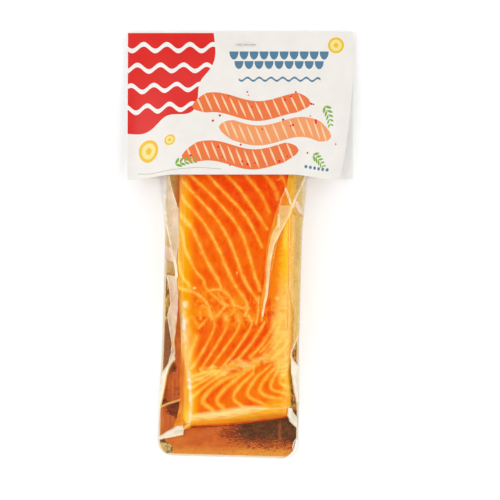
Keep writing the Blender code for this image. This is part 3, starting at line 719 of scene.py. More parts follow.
def printed_shapes():
    """(material, outline, area that it is kept to) for each printed shape, lowest first."""
    panel = corner_panel()
    shapes = [("print_red", panel, None)]
    for row in range(4):
        band = wave_band(-74, -14, 9.5 + 13.5 * row, 3.0, 2.2, 15.0, phase=1.7 * row)
        shapes.append(("print_white", band, panel))
    for row, count in enumerate((10, 9)):
        for step in range(count):
            u = -4.2 + 3.25 * row + 6.5 * step
            shapes.append(("print_slate", scale_shape(u, 12.0 + 6.4 * row, 5.9, 5.4), None))
    shapes.append(("print_slate", wave_band(-1, 52, 31.0, 1.5, 1.2, 7.6), None))
    ribbons = (("print_orange", -30, 46, 50.0), ("print_peach", -12, 62, 66.5),
        ("print_orange", -34, 40, 82.5))
    for name, left, right, middle in ribbons:
        body = wave_band(left, right, middle, 13.5, 3.0, 58.0, phase=left * 0.1, taper=9.0)
        shapes.append((name, body, None))
        for step in range(13):
            u = left + 5 + (right - left - 10) * step / 12
            v = middle + 3.0 * math.sin(2 * math.pi * (u - left) / 58.0 + left * 0.1)
            shapes.append(("print_cream", leaf(u - 3.4, v - 6.4, 14.0, 1.3, 1.12), body))
    for u, v, size in ((62.0, 8.0, 5.2), (-58.0, 78.0, 7.4), (-43.0, 72.0, 3.6)):
        shapes.append(("print_yellow", disc(u, v, size, 28), None))
        shapes.append(("print_lemon", disc(u, v, size * 0.72, 24), None))
        shapes.append(("print_yellow", disc(u, v, size * 0.30, 14), None))
    for u, v, length, turn in ((54.0, 46.0, 15.0, 0.9), (-40.0, 90.0, 14.0, -0.5), (48.0, 80.0, 13.0, 0.35)):
        shapes += [("print_green", part, None) for part in sprig(u, v, length, turn)]
    draw = np.random.default_rng(5)
    for _ in range(34):
        u, v = draw.uniform(-36, 66), draw.uniform(40, 90)
        shapes.append(("print_red", disc(u, v, draw.uniform(0.45, 0.95), 9), None))
    shapes.append(("print_grey", wave_band(-66, -8, 92.0, 0.45, 1.0, 58.0), None))
    shapes += [("print_slate", disc(46 + 3.4 * step, 89.5, 1.15, 12), None) for step in range(6)]
    return shapes


def card_material(name, colour, mottle=0.04, gloss=0.34):
    """Coated card or ink on it: faint cloudiness, a fine tooth and a soft shine."""
    g = Graph(name)
    cloud = g.noise(0.009, 3)
    fibre = g.noise(0.00045, 3, 0.65)
    shade = g.spread(cloud, 0.3, 0.7, 1 - mottle, 1.0)
    shade = g.times(shade, g.spread(fibre, 0.2, 0.8, 1 - 0.6 * mottle, 1.0))
    grey = g.add("ShaderNodeCombineColor", {0: shade, 1: shade, 2: shade}).outputs[0]
    colour = g.mix(1.0, colour, grey, "MULTIPLY")
    return g.finish(g.principled({
        "Base Color": colour,
        "Roughness": g.spread(cloud, 0.3, 0.7, gloss, gloss + 0.08),
        "Specular IOR Level": 0.35,
        "Normal": g.bump(fibre, 0.00002, 0.6),
    }))


PRINT_COLOURS = {
    "card_face": srgb(244, 240, 233),
    "print_red": srgb(226, 38, 32),
    "print_white": srgb(248, 246, 242),
    "print_slate": srgb(84, 128, 156),
    "print_orange": srgb(240, 120, 62),
    "print_peach": srgb(247, 158, 100),
    "print_cream": srgb(252, 212, 170),
    "print_yellow": srgb(246, 196, 40),
    "print_lemon": srgb(250, 232, 150),
    "print_green": srgb(126, 176, 60),
    "print_grey": srgb(196, 192, 186),
}


def make_header():
    """The folded card as one closed sheet whose front faces are divided along the print's outlines."""
    form = CardForm()
    half = PACK_WIDTH / 2 / MM
    top, bottom = -(TURN_LENGTH + BACK_LENGTH) / MM, FLAP_DROP / MM
    outline = [(-half, top), (half, top), (half, bottom), (-half, bottom)]
    shapes = printed_shapes()
    lines = []
    for _, points, _ in shapes:
        kept = [(min(max(u, -half - 1), half + 1), min(max(v, 0.0), bottom)) for u, v in points]
        lines.append((kept, True))
    turn_rows = [-TURN_LENGTH / MM * share for share in np.linspace(0, 1, 9)]
    turn_points = [(u, v) for v in turn_rows for u in np.linspace(-half, half, 50)]
    front_points = hex_points((-half, 1.5), (half, bottom), 2.4)
    back_points = hex_points((-half, top), (half, -TURN_LENGTH / MM - 1.5), 7.0)
    loose = [*turn_points, *front_points, *back_points]
    loose += [(side, v) for side in (-half, half) for v in np.linspace(2, bottom - 2, 46)]
    loose += [(u, bottom) for u in np.linspace(-half + 2, half - 2, 71)]
    flat, faces = triangulate(outline, loose, lines)

    names = list(PRINT_COLOURS)
    centres = np.array([flat[list(f)].mean(axis=0) for f in faces])
    front_face = np.zeros(len(faces), int)
    for name, points, kept_to in shapes:
        covered = inside(centres, points) & (centres[:, 1] > 0)
        if kept_to is not None:
            covered &= inside(centres, kept_to)
        front_face[covered] = names.index(name)

    u, v = (flat * MM).T
    outer, inner = form.at(u, v, 0.49 * CARD), form.at(u, v, -0.49 * CARD)
    count = len(flat)
    turned = [tuple(reversed(f)) for f in faces]
    all_faces = turned + [tuple(i + count for i in f) for f in faces]
    rim = [(a, b, b + count, a + count) for a, b in rim_of(faces)]
    core = len(names)
    indices = [*front_face, *[core + 1] * len(faces), *[core] * len(rim)]
    materials = [card_material(name, colour) for name, colour in PRINT_COLOURS.items()]
    materials.append(card_material("card_cut_edge", srgb(222, 208, 182), mottle=0.12, gloss=0.6))
    materials.append(card_material("card_inside", srgb(253, 252, 249), mottle=0.02, gloss=0.5))
    header = piece_from("header_card_printed", np.concatenate([outer, inner]), all_faces + rim, materials,
        indices)
    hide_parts("header_card")
    return header


# Fish


# The fish's yellow left margin and pale right margin: along, then how far across they reach, in millimetres
YELLOW_MARGIN = ((20, -21.0), (30, -20.5), (38, -21.0), (46, -22.0), (55, -22.0), (66, -23.5), (80, -23.5),
    (90, -25.0), (100, -27.0), (112, -27.0), (124, -27.0), (140, -28.0), (150, -27.5), (165, -28.0),
    (176, -31.5), (184, -36.0), (200, -40.0))
PALE_MARGIN = ((20, 36.0), (30, 36.5), (40, 36.0), (50, 34.0), (57, 31.5), (65, 27.0), (72, 26.5),
    (80, 26.5), (90, 26.5), (98, 28.0), (105, 29.6), (120, 30.4), (140, 30.8), (150, 31.0), (160, 33.0),
    (180, 36.0), (200, 37.0))
# How red the flesh is, from orange (0) to red-orange (1), and how much redder it gets with each millimetre
# across
REDNESS = ((20, 0.30), (30, 0.42), (45, 0.60), (58, 0.52), (68, 0.76), (80, 0.80), (92, 0.78), (104, 0.66),
    (114, 0.62), (128, 0.60), (142, 0.66), (158, 0.78), (172, 0.95), (200, 1.0))
REDNESS_LEAN = ((20, -0.008), (55, -0.008), (66, 0.002), (108, 0.004), (200, 0.004))
# The pale streak along the cut end, and the upper border of the cut face: across, then along
FOOT_STREAK = ((-30, 25.6), (-20, 26.8), (-10, 28.3), (0, 29.8), (10, 32.0), (20, 33.3), (40, 34.0))
FOOT_STREAK_HALF = ((-30, 1.6), (-20, 2.0), (0, 2.8), (10, 2.6), (18, 1.8), (25, 0.5), (40, 0.2))
CUT_TOP = ((-30, 19.0), (-26, 20.4), (-20, 21.8), (-10, 22.6), (0, 23.8), (10, 25.8), (20, 28.0), (30, 29.8),
    (40, 31.6))
# The cut end's foot: across, then along
CUT_FOOT = ((-32, 16.2), (-28, 17.0), (-23, 18.9), (-12, 19.6), (0, 20.7), (10, 22.0), (20, 23.6),
    (30, 25.2), (42, 27.2))
FISH_SWELL = 0.0018  # how far the fish's left side swells out under the film in its upper part


def smooth_line(points, rounds=2):
    """A line with its corners cut off again and again."""
    line = np.array(points, float)
    for _ in range(rounds):
        near, far = line[:-1] * 0.75 + line[1:] * 0.25, line[:-1] * 0.25 + line[1:] * 0.75
        line = np.concatenate([line[:1], np.stack([near, far], axis=1).reshape(-1, 2), line[-1:]])
    return line


def fat_lines(a, l):
    """For each point, how many half widths away the nearest line of fat is, and how strong that line is."""
    near, strength = np.full_like(a, 4.0), np.zeros_like(a)
    for width, level, points in FAT_LINES:
        line = smooth_line(points)
        box_low, box_high = line.min(axis=0) - 5, line.max(axis=0) + 5
        close = (a > box_low[0]) & (a < box_high[0]) & (l > box_low[1]) & (l < box_high[1])
        here_a, here_l = a[close], l[close]
        apart = np.full_like(here_a, np.inf)
        for (a0, l0), (a1, l1) in zip(line, line[1:]):
            run_a, run_l = a1 - a0, l1 - l0
            share = clamp(((here_a - a0) * run_a + (here_l - l0) * run_l) / (run_a**2 + run_l**2))
            apart = np.minimum(apart, np.hypot(here_a - a0 - share * run_a, here_l - l0 - share * run_l))
        ratio = apart / (width / 2)
        nearer = ratio < near[close]
        slots = np.flatnonzero(close)[nearer]
        near[slots], strength[slots] = ratio[nearer], level
    return near, strength


def fish_grid():
    """Shares across and along the fish, closest together where its sides and its cut end stand."""
    fine = 1

    def steps(low, high, count):
        return np.linspace(low, high, max(3, int(count * fine)))

    across = np.concatenate([steps(0, 0.14, 26)[:-1], steps(0.14, 0.88, 116)[:-1], steps(0.88, 1, 24)])
    along = np.concatenate([steps(0, 0.05, 24)[:-1], steps(0.05, 1, 330)])
    return np.meshgrid(across, along)


def make_fish():
    """The block of fish: a closed form under the film, slightly uneven. Its flakes are colour."""
    t, s = fish_grid()
    rough = FISH_LEFT + t * (FISH_RIGHT - FISH_LEFT)
    foot = np.maximum(np.interp(rough / MM, *zip(*CUT_FOOT)) * MM, fish_foot_line(rough))
    along = foot + s * (FISH_END - foot)
    swell = ease(0.098, 0.112, along)
    left = fish_left_base(along) - FISH_SWELL * swell
    across = left + t * (FISH_RIGHT - left)
    x, y = to_pack(across, along)
    height = fish_height(across, along)
    swollen = np.minimum(film_slopes(across, along), (across - left) * 9) * swell
    height = np.where(across < SHOULDER_LEFT, np.maximum(height, swollen), height)
    height = soft_min(height, (along - foot) / 0.0045 * BELLY_HEIGHT, 0.003)
    a, l = across.ravel() / MM, along.ravel() / MM

    wobble = wander(np.stack([a, l, height.ravel() / MM], axis=-1), 11.0, 1).reshape(height.shape)
    lifted = ease(0.0, 0.006, height)
    height = np.maximum(height - FISH_UNDER_FILM - 0.00012 * (1 + wobble) * lifted, 0.0)
    base = pouch_underside(y, along) + BOARD_TOP + 0.00005
    upper = np.stack([x, y, base + np.maximum(height, 0.0002)], axis=-1).reshape(-1, 3)
    rows, columns = height.shape
    faces = [(row * columns + column, row * columns + column + 1,
              (row + 1) * columns + column + 1, (row + 1) * columns + column)
             for row in range(rows - 1) for column in range(columns - 1)]

    # The underside has corners along its rim only, and strips from side to side.
    rim = [(0, c) for c in range(columns)] + [(r, columns - 1) for r in range(1, rows)]
    rim += [(rows - 1, c) for c in range(columns - 2, -1, -1)] + [(r, 0) for r in range(rows - 2, 0, -1)]
    below = {corner: rows * columns + n for n, corner in enumerate(rim)}
    lower = np.array([(x[c], y[c], base[c]) for c in rim])
    for here, after in zip(rim, rim[1:] + rim[:1]):
        faces.append((here[0] * columns + here[1], below[here], below[after], after[0] * columns + after[1]))
    faces.append((*[below[0, c] for c in range(columns - 1, -1, -1)], below[1, 0], below[1, columns - 1]))
    for row in range(1, rows - 2):
        faces.append((below[row, columns - 1], below[row, 0], below[row + 1, 0],
            below[row + 1, columns - 1]))
    faces.append((below[rows - 2, columns - 1], below[rows - 2, 0],
                  *[below[rows - 1, c] for c in range(columns)]))
    fish = piece_from("salmon_block", np.concatenate([upper, lower]), faces, [fish_material()],
        sharp_degrees=80)

    near, strength = fat_lines(a, l)
    lower = ease(62.0, 55.0, l)
    near, strength = near * (1 - 0.04 * lower), strength * (1 + 0.10 * lower)

    def table(rows, at=l):
        return np.interp(at, *zip(*rows))

    cut_top = table(CUT_TOP, a)
    from_left = a - left.ravel() / MM
    pale_seam = 59.0 + 0.27 * a + 1.2 * np.sin(a * 0.35)
    slit = 0.8 - np.hypot((a - 23.9 - 0.1 * (l - 100)) / 1.3, (l - 102.0) / 4.6)
    # Painted highlights: the film's sheen along the left shoulder and its glints, as paler fish colour
    centre, bright, half = (np.interp(l, [row[0] for row in SHEEN],
        column) for column in list(zip(*SHEEN))[1:])
    glint = bright * np.exp(-(((a - centre) / half) ** 2))
    for spot_a, spot_l, half_a, half_l, level in GLINTS:
        spot = np.exp(-(((a - spot_a) / half_a) ** 2) - np.abs((l - spot_l) / half_l) ** 3)
        glint = np.maximum(glint, level * spot)
    values = {
        "glint": glint,
        "fat_near": near,
        "fat_strength": strength,
        "redness": table(REDNESS) + table(REDNESS_LEAN) * a,
        "yellow": clamp(0.5 + (table(YELLOW_MARGIN) - a) / 10.0),
        "cream": ease(70.0, 60.0, l) + 0.6 * ease(104.0, 96.0, l) * ease(-26.0, -29.0, a),
        # a painted highlight along the fish's steep left side
        "left_rim_highlight": ease(1.9, 0.7, from_left) * ease(64.0, 78.0, l) * ease(168.0, 160.0, l),
        "wedge": ease(-33.4, -34.8, a) * ease(158.0, 168.0, l),
        "lower_left": ease(-24.0, -26.0, a) * ease(-31.0, -29.0, a) * ease(36.0, 28.0, l),
        "glow": clamp(1.3 - np.abs(a - 33.2) / 1.5) * ease(132.0, 140.0, l) * ease(158.0, 151.0, l),
        "pale": clamp(0.5 + (a - table(PALE_MARGIN)) / 8.0),
        "lemon": np.maximum(ease(108.0, 122.0, l), ease(60.0, 52.0, l)),
        "amber": ease(21.5, 24.0, a) * ease(98, 106, l) * ease(152, 142, l),
        "slit": clamp(2.0 * slit),
        "lower": lower,
        "mottled": ease(80, 90, l) * ease(110, 102, l + 0.12 * a) * ease(32, 24, a),
        "seam": clamp(1 - np.abs(l - pale_seam) / 7.0),
        "streak": clamp(1.4 - np.abs(l - table(FOOT_STREAK, a)) / table(FOOT_STREAK_HALF, a)),
        "rim": ease(cut_top + 9.0 + 3.0 * ease(18, 28, a), cut_top + 3.0 + 3.0 * ease(18, 28, a), l),
        "cut_face": ease(cut_top + 0.5, cut_top - 1.3, l) * ease(-29.0, -26.0, a),
        "cut_foot": ease(2.0, 0.9, l - foot.ravel() / MM),
        "side": ease(-26.6, -28.0, a) * ease(76.0, 62.0, l),
        "side_foot": ease(-28.4, -30.6, a) * ease(70.0, 60.0, l),
    }
    rim_index = np.array([r * columns + c for r, c in rim])
    for name, field in values.items():
        set_attribute(fish, name, np.concatenate([field, field[rim_index]]))
    return fish


def fish_material():
    """Salmon flesh: flakes of muscle from orange to deep red-orange, with knotty pale lines of fat."""
    g = Graph("salmon_flesh")
    cloud = g.noise(0.011, 3)
    middle = g.noise(0.0042, 3, 0.55)
    fine = g.noise(0.0013, 3, 0.6)
    near = g.attribute("fat_near")

    def soft(value, wobble, low=0.35, high=0.65):
        """A soft mask whose border wanders."""
        return g.spread(g.plus(value, g.spread(wobble, 0.25, 0.75, -0.22, 0.22)), low, high)

    redness = g.plus(g.attribute("redness"), g.spread(cloud, 0.3, 0.7, -0.22, 0.22))
    flesh = g.mix(redness, srgb(254, 134, 6), srgb(241, 60, 3))
    fibre = g.noise(0.0011, 2, 0.6, place=g.stretched((0.4, 1.5, 1.0), 0.9))
    flesh = g.mix(g.spread(fibre, 0.35, 0.75, 0.0, 0.16), flesh, srgb(255, 142, 30))
    sinew = g.noise(0.0013, 3, 0.65, place=g.stretched((1.7, 0.5, 1.0), -0.55))
    flesh = g.mix(g.spread(sinew, 0.52, 0.72, 0.0, 0.30), flesh, srgb(255, 128, 24))
    flesh = g.mix(g.spread(sinew, 0.46, 0.28, 0.0, 0.25), flesh, srgb(228, 52, 0))
    brushed = g.noise(0.0034, 3, 0.6, place=g.stretched((1.0, 0.45, 1.0), -0.5))
    flesh = g.mix(g.spread(brushed, 0.5, 0.72, 0.0, 0.35), flesh, srgb(255, 132, 24))
    flesh = g.mix(g.spread(brushed, 0.5, 0.3, 0.0, 0.35), flesh, srgb(232, 54, 2))
    flesh = g.mix(g.times(g.attribute("amber"), 0.85), flesh, srgb(252, 136, 10))

    # Each flake turns paler towards the line of fat beside it, and blotchy where the flakes turn.
    halo = g.math("SUBTRACT", 1.0, g.spread(near, 0.7, 2.4))
    halo = g.times(halo, g.math("SUBTRACT", 0.42, g.times(g.attribute("mottled"), 0.22)))
    halo = g.times(halo, g.plus(1.0, g.times(g.attribute("lower"), 0.8)))
    flesh = g.mix(halo, flesh, g.mix(g.attribute("lower"), srgb(253, 134, 20), srgb(255, 142, 12)))
    tufts = g.noise(0.0055, 2, 0.5, place=g.stretched((0.9, 1.1, 1.0), 0.5))
    blotch = g.times(g.attribute("mottled"), g.spread(tufts, 0.50, 0.64, 0.0, 0.7))
    flesh = g.mix(blotch, flesh, srgb(254, 152, 12))
    twigs = g.noise(0.0085, 3, 0.6, place=g.stretched((1.2, 0.8, 1.0), 0.5), distortion=0.6)
    twigs = g.spread(g.math("ABSOLUTE", g.math("SUBTRACT", twigs, 0.5)), 0.045, 0.0)
    flesh = g.mix(g.times(g.attribute("mottled"), g.times(twigs, 0.5)), flesh, srgb(255, 170, 40))

    # Margins: amber and then yellow on the left, yellow or peach on the right
    yellow = g.plus(g.attribute("yellow"), g.spread(cloud, 0.3, 0.7, -0.12, 0.12))
    yellow = g.plus(yellow, g.times(halo, 0.25))
    flesh = g.mix(g.spread(yellow, 0.08, 0.62, 0.0, 0.94), flesh, srgb(253, 152, 2))
    left_tone = g.mix(g.attribute("cream"), srgb(249, 168, 0), srgb(250, 174, 8))
    yellow = g.spread(yellow, 0.38, 0.92)
    flesh = g.mix(yellow, flesh, left_tone)
    brush = g.noise(0.0032, 3, 0.6, place=g.stretched((0.5, 1.3, 1.0), 0.7))
    pale = g.spread(g.plus(g.attribute("pale"), g.spread(brush, 0.25, 0.75, -0.2, 0.2)), 0.1, 0.95)
    peach = g.mix(g.spread(brush, 0.35, 0.65), srgb(255, 210, 108), srgb(253, 186, 70))
    right_tone = g.mix(g.attribute("lemon"), peach, srgb(255, 194, 34))
    flesh = g.mix(g.times(pale, 0.95), flesh, right_tone)
    seam = soft(g.times(g.attribute("seam"), 0.95), middle, 0.35, 0.85)
    seam_tone = g.mix(g.spread(brush, 0.35, 0.65), srgb(254, 176, 40), srgb(255, 200, 112))
    flesh = g.mix(g.times(seam, 0.9), flesh, seam_tone)
    flesh = g.mix(g.attribute("slit"), flesh, srgb(238, 78, 6))

    # Lines of fat, knotty and broken here and there
    knots = g.spread(g.noise(0.0036, 2, 0.5), 0.3, 0.7, -0.26, 0.26)
    swelling = g.spread(g.noise(0.006, 2, 0.5), 0.3, 0.7, 1.42, 0.86)
    ragged = g.plus(g.times(near, swelling),
                    g.plus(knots, g.spread(fine, 0.3, 0.7, -0.18, 0.18)))
    level = g.times(g.attribute("fat_strength"), g.spread(g.noise(0.009, 2, 0.5), 0.3, 0.7, 0.75, 1.2))
    level = g.spread(level, 0.0, 0.95, 0.25, 1.0)
    line = g.times(g.math("SUBTRACT", 1.0, g.spread(ragged, 0.1, 1.8)), level)
    core = g.times(g.math("SUBTRACT", 1.0, g.spread(ragged, -0.1, 0.85)), level)
    light = g.math("MAXIMUM", yellow, g.math("MAXIMUM", pale, seam))
    fat = g.mix(g.times(core, 0.8), srgb(255, 158, 40), srgb(255, 194, 92))
    fat = g.mix(g.times(g.attribute("lower"), 0.5), fat, srgb(255, 192, 70))
    fat = g.mix(light, fat, srgb(255, 214, 96))
    colour = g.mix(line, flesh, fat)
    colour = g.mix(g.attribute("glow"), colour, srgb(255, 212, 66))

    # The cut end: yellow above it, a pale streak, then the cut face that is red at its foot
    streak = g.noise(0.0019, 3, 0.6, place=g.stretched((0.22, 1.5, 1.0), 0.14))
    rim = g.times(g.attribute("rim"), g.spread(streak, 0.2, 0.7, 0.55, 0.95))
    colour = g.mix(rim, colour, g.mix(g.spread(streak, 0.35, 0.65), srgb(253, 164, 14), srgb(255, 190, 50)))
    gleam = g.times(g.attribute("streak"), g.spread(streak, 0.25, 0.6, 0.45, 1.0))
    colour = g.mix(gleam, colour, srgb(255, 226, 142))
    cut = g.mix(g.spread(streak, 0.35, 0.7), srgb(252, 136, 18), srgb(255, 172, 44))
    colour = g.mix(g.attribute("cut_face"), colour, cut)
    foot = g.mix(g.spread(middle, 0.4, 0.6), srgb(226, 72, 10), srgb(246, 104, 18))
    colour = g.mix(g.attribute("cut_foot"), colour, foot)
    grain = g.noise(0.0022, 3, 0.6, place=g.stretched((1.6, 0.2, 1.0), 0.03))
    flank = g.mix(g.spread(grain, 0.35, 0.65), srgb(250, 164, 44), srgb(254, 196, 80))
    colour = g.mix(g.times(g.attribute("side"), 0.9), colour, flank)
    flank_foot = g.mix(g.spread(grain, 0.35, 0.65), srgb(226, 112, 34), srgb(242, 144, 54))
    colour = g.mix(g.attribute("side_foot"), colour, flank_foot)
    colour = g.mix(g.times(g.attribute("lower_left"), 0.8), colour, srgb(255, 204, 56))
    # Painted highlight: a cream strip along the fish's steep left side
    colour = g.mix(g.times(g.attribute("left_rim_highlight"), 0.9), colour, srgb(255, 224, 128))
    wedge = g.mix(g.spread(grain, 0.35, 0.65), srgb(238, 138, 40), srgb(252, 176, 74))
    colour = g.mix(g.attribute("wedge"), colour, wedge)
    colour = g.mix(g.spread(fine, 0.62, 0.82, 0.0, 0.10), colour, srgb(255, 204, 110))

    # Painted highlights of the tight film: cream to near white where the glints and the sheen are strong
    spot = g.plus(g.attribute("glint"), g.times(g.spread(middle, 0.3, 0.7, -0.12, 0.12),
                                                      g.spread(g.attribute("glint"), 0.0, 0.3)))
    tone = g.mix(g.spread(spot, 0.3, 0.9), srgb(255, 218, 120), srgb(255, 252, 240))
    colour = g.mix(g.spread(spot, 0.02, 0.8), colour, tone)

    relief = g.plus(g.times(line, 0.5), g.times(fine, 0.5))
    return g.finish(g.principled({
        "Base Color": colour,
        "Roughness": g.spread(fine, 0.3, 0.7, 0.36, 0.5),
        "Specular IOR Level": 0.08,
        "Specular Tint": srgb(255, 200, 120),
        "Normal": g.bump(relief, 0.0001, 0.6),
    }))


# Gold board


def make_board():
    """The board: card laminated with gold foil, slightly wavy, with a bevelled pale cut edge."""
    rows = np.concatenate([BOARD_CORNER * (1 - np.cos(np.radians([0, 15, 30, 45, 60, 75]))),
                           np.linspace(BOARD_CORNER, BOARD_END, 190)])
    shares = np.linspace(0, 1, 100)
    left, right = pouch_edges(np.minimum(rows, 0.130))
    rings = []
    for inset, level in ((0.0012, 1.0), (0.0005, 0.6), (0.0005, 0.0)):
        a0, a1 = left + inset, right - inset
        across = a0[:, None] + (a1 - a0)[:, None] * shares[None, :]
        along = np.repeat(np.maximum(rows, inset)[:, None], len(shares), axis=1)
        x, y = to_pack(across, along)
        z = pouch_underside(y, along) + BOARD_BOTTOM + (BOARD_TOP - BOARD_BOTTOM) * level
        if level == 1.0:
            z = z + (0.00006 * np.sin(across * 190 + 2.0 * np.sin(along * 70))
                     * np.sin(along * 120 + across * 60))
            a, l = across.ravel() / MM, along.ravel() / MM
        rings.append(np.stack([x, y, z], axis=-1))
    high, wide = rings[0].shape[:2]
    layer = high * wide

    def at(row, column, level):
        return level * layer + row * wide + column

    loop = [(0, c) for c in range(wide)] + [(r, wide - 1) for r in range(1, high)]
    loop += [(high - 1, c) for c in range(wide - 2, -1, -1)] + [(r, 0) for r in range(high - 2, 0, -1)]
    faces, indices = [], []
    for row in range(high - 1):
        for column in range(wide - 1):
            corners = ((row, column), (row, column + 1), (row + 1, column + 1), (row + 1, column))
            faces.append(tuple(at(r, c, 0) for r, c in corners))
            indices.append(0)
    for row in range(high - 1):
        faces.append((at(row, wide - 1, 2), at(row, 0, 2), at(row + 1, 0, 2), at(row + 1, wide - 1, 2)))
        indices.append(2)
    faces[-high + 1] = (*[at(0, c, 2) for c in range(wide - 1, -1, -1)], at(1, 0, 2), at(1, wide - 1, 2))
    faces[-1] = (at(high - 2, wide - 1, 2), at(high - 2, 0, 2), *[at(high - 1, c, 2) for c in range(wide)])
    for (r0, c0), (r1, c1) in zip(loop, loop[1:] + loop[:1]):
        for level in (0, 1):
            faces.append((at(r0, c0, level), at(r0, c0, level + 1), at(r1, c1, level + 1),
                at(r1, c1, level)))
            indices.append(1)
    materials = [foil_material(), card_material("board_cut_edge", srgb(255, 232, 184), mottle=0.1,
        gloss=0.4),
                 card_material("board_back", srgb(226, 222, 212), mottle=0.08, gloss=0.5)]
    board = piece_from("gold_board", np.concatenate([r.reshape(-1, 3) for r in rings]), faces, materials,
        indices,
                       sharp_degrees=30)
    # Where the foil looks pale or specked, and where a dark reflection with reddish borders is painted
    foot = np.interp(a, *zip(*CUT_FOOT))
    dark_low = np.interp(a, (-8, -3, 2, 6, 12, 26, 36, 46), (20.0, 17.0, 12.5, 10.4, 9.2, 8.4, 8.6, 8.0))
    dark_reflection = np.minimum(np.minimum((l - dark_low) / 6.0, (a - 2.0) / 9.0), (foot + 4 - l) / 2.0)
    dark_reflection = np.maximum(dark_reflection, np.minimum((a - 38.0) / 3.0, np.minimum((l - 9.0) / 3.0, (24.0 - l) / 3.0)))
    under = np.minimum(ease(1.6, 0.3, foot - l) * ease(6.0, 3.0, l - foot), ease(-24.0, -12.0, a))
    # The reddish borders of the painted dark reflection
    blush = 1 - np.hypot((a - 2.0) / 14.0, (l - 15.6) / 5.6)
    blush = np.maximum(blush, 0.8 - np.hypot((a - 24.0) / 15.0, (l - 7.4) / 2.4))
    blush = np.maximum(blush, under)
    column = ease(-31.0, -33.0, a) * ease(68.0, 60.0, l) * ease(11.0, 24.0, l)
    banded = column * ease(33.0, 36.0, l) * ease(46.0, 41.0, l)
    maroon = np.minimum((34.5 + 0.3 * (a + 36) - l) / 2.0, np.minimum((l - 25.0 + 0.5 * (a + 36)) / 3.0,
                                                                      (a + 41.0) / 3.0))
    maroon = np.maximum(maroon, 1 - np.hypot((a + 37.0) / 2.6, (l - 56.8) / 2.6))
    maroon = np.maximum(maroon, 1 - np.hypot((a + 42.2) / 2.0, (l - 34.6) / 2.4))
    corner = np.minimum((8.6 - l - 0.9 * (a + 39.5)) / 1.6, (-35.6 - a) / 1.6)
    values = {
        "dark_reflection": clamp(0.5 + 0.5 * dark_reflection),
        "blush": clamp(blush),
        "copper_streak": np.maximum(1 - np.abs(a - 33.6) / 1.6, 0) * ease(6.0, 9.0, l) * ease(24.0, 21.0, l),
        "column": column,
        "banded": banded,
        "maroon": clamp(0.5 + 0.5 * maroon) * ease(-30.6, -32.0, a),
        "corner": clamp(0.5 + 0.5 * corner),
        "khaki": np.maximum(ease(30.0, 36.0, a) * ease(27.0, 32.0, l), ease(104.0, 116.0, l)),
        "head": ease(156.0, 164.0, l) * ease(0.0, -20.0, a),
        "tan": np.maximum(ease(37.0, 40.0, a) * ease(124.0, 132.0, l) * ease(158.0, 150.0, l),
                          ease(-35.0, -38.0, a) * ease(154.0, 140.0, l) * ease(110.0, 120.0, l)),
        "tick": ease(43.4, 43.8, a) * np.maximum(ease(123.0, 125.0, l) * ease(137.0, 134.0, l),
                                                 0.7 * ease(98.0, 101.0, l) * ease(118.0, 114.0, l)),
        "glow": ease(-40.0, -36.6, a) * ease(150.0, 156.0, l) * ease(-20.0, -30.0, a),
        "specked": np.maximum(ease(-38.0, -39.5, a) * ease(84.0, 88.0, l) * ease(122.0, 116.0, l),
                              ease(38.0, 40.0, a) * ease(26.0, 30.0, l) * ease(78.0, 70.0, l)),
        "umber": np.maximum(ease(-36.5, -38.5, a) * ease(50.0, 56.0, l) * ease(90.0, 84.0, l),
                            clamp(2 - 2 * np.hypot((a - 42.4) / 1.6, (l - 30.6) / 3.4))),
        "foot_strip": ease(6.5, 3.0, l) + 0.6 * ease(8.0, 5.0, l) * ease(2.0, 12.0, a),
        "outer": np.maximum(ease(42.0, 45.0, a), ease(-43.0, -45.0, a)),
    }
    for name, field in values.items():
        set_attribute(board, name, np.concatenate([field] * 3))
    work = bmesh.new()
    work.from_mesh(board.data)
    bmesh.ops.delete(work, geom=[v for v in work.verts if not v.link_faces], context="VERTS")
    work.to_mesh(board.data)
    work.free()
    return board


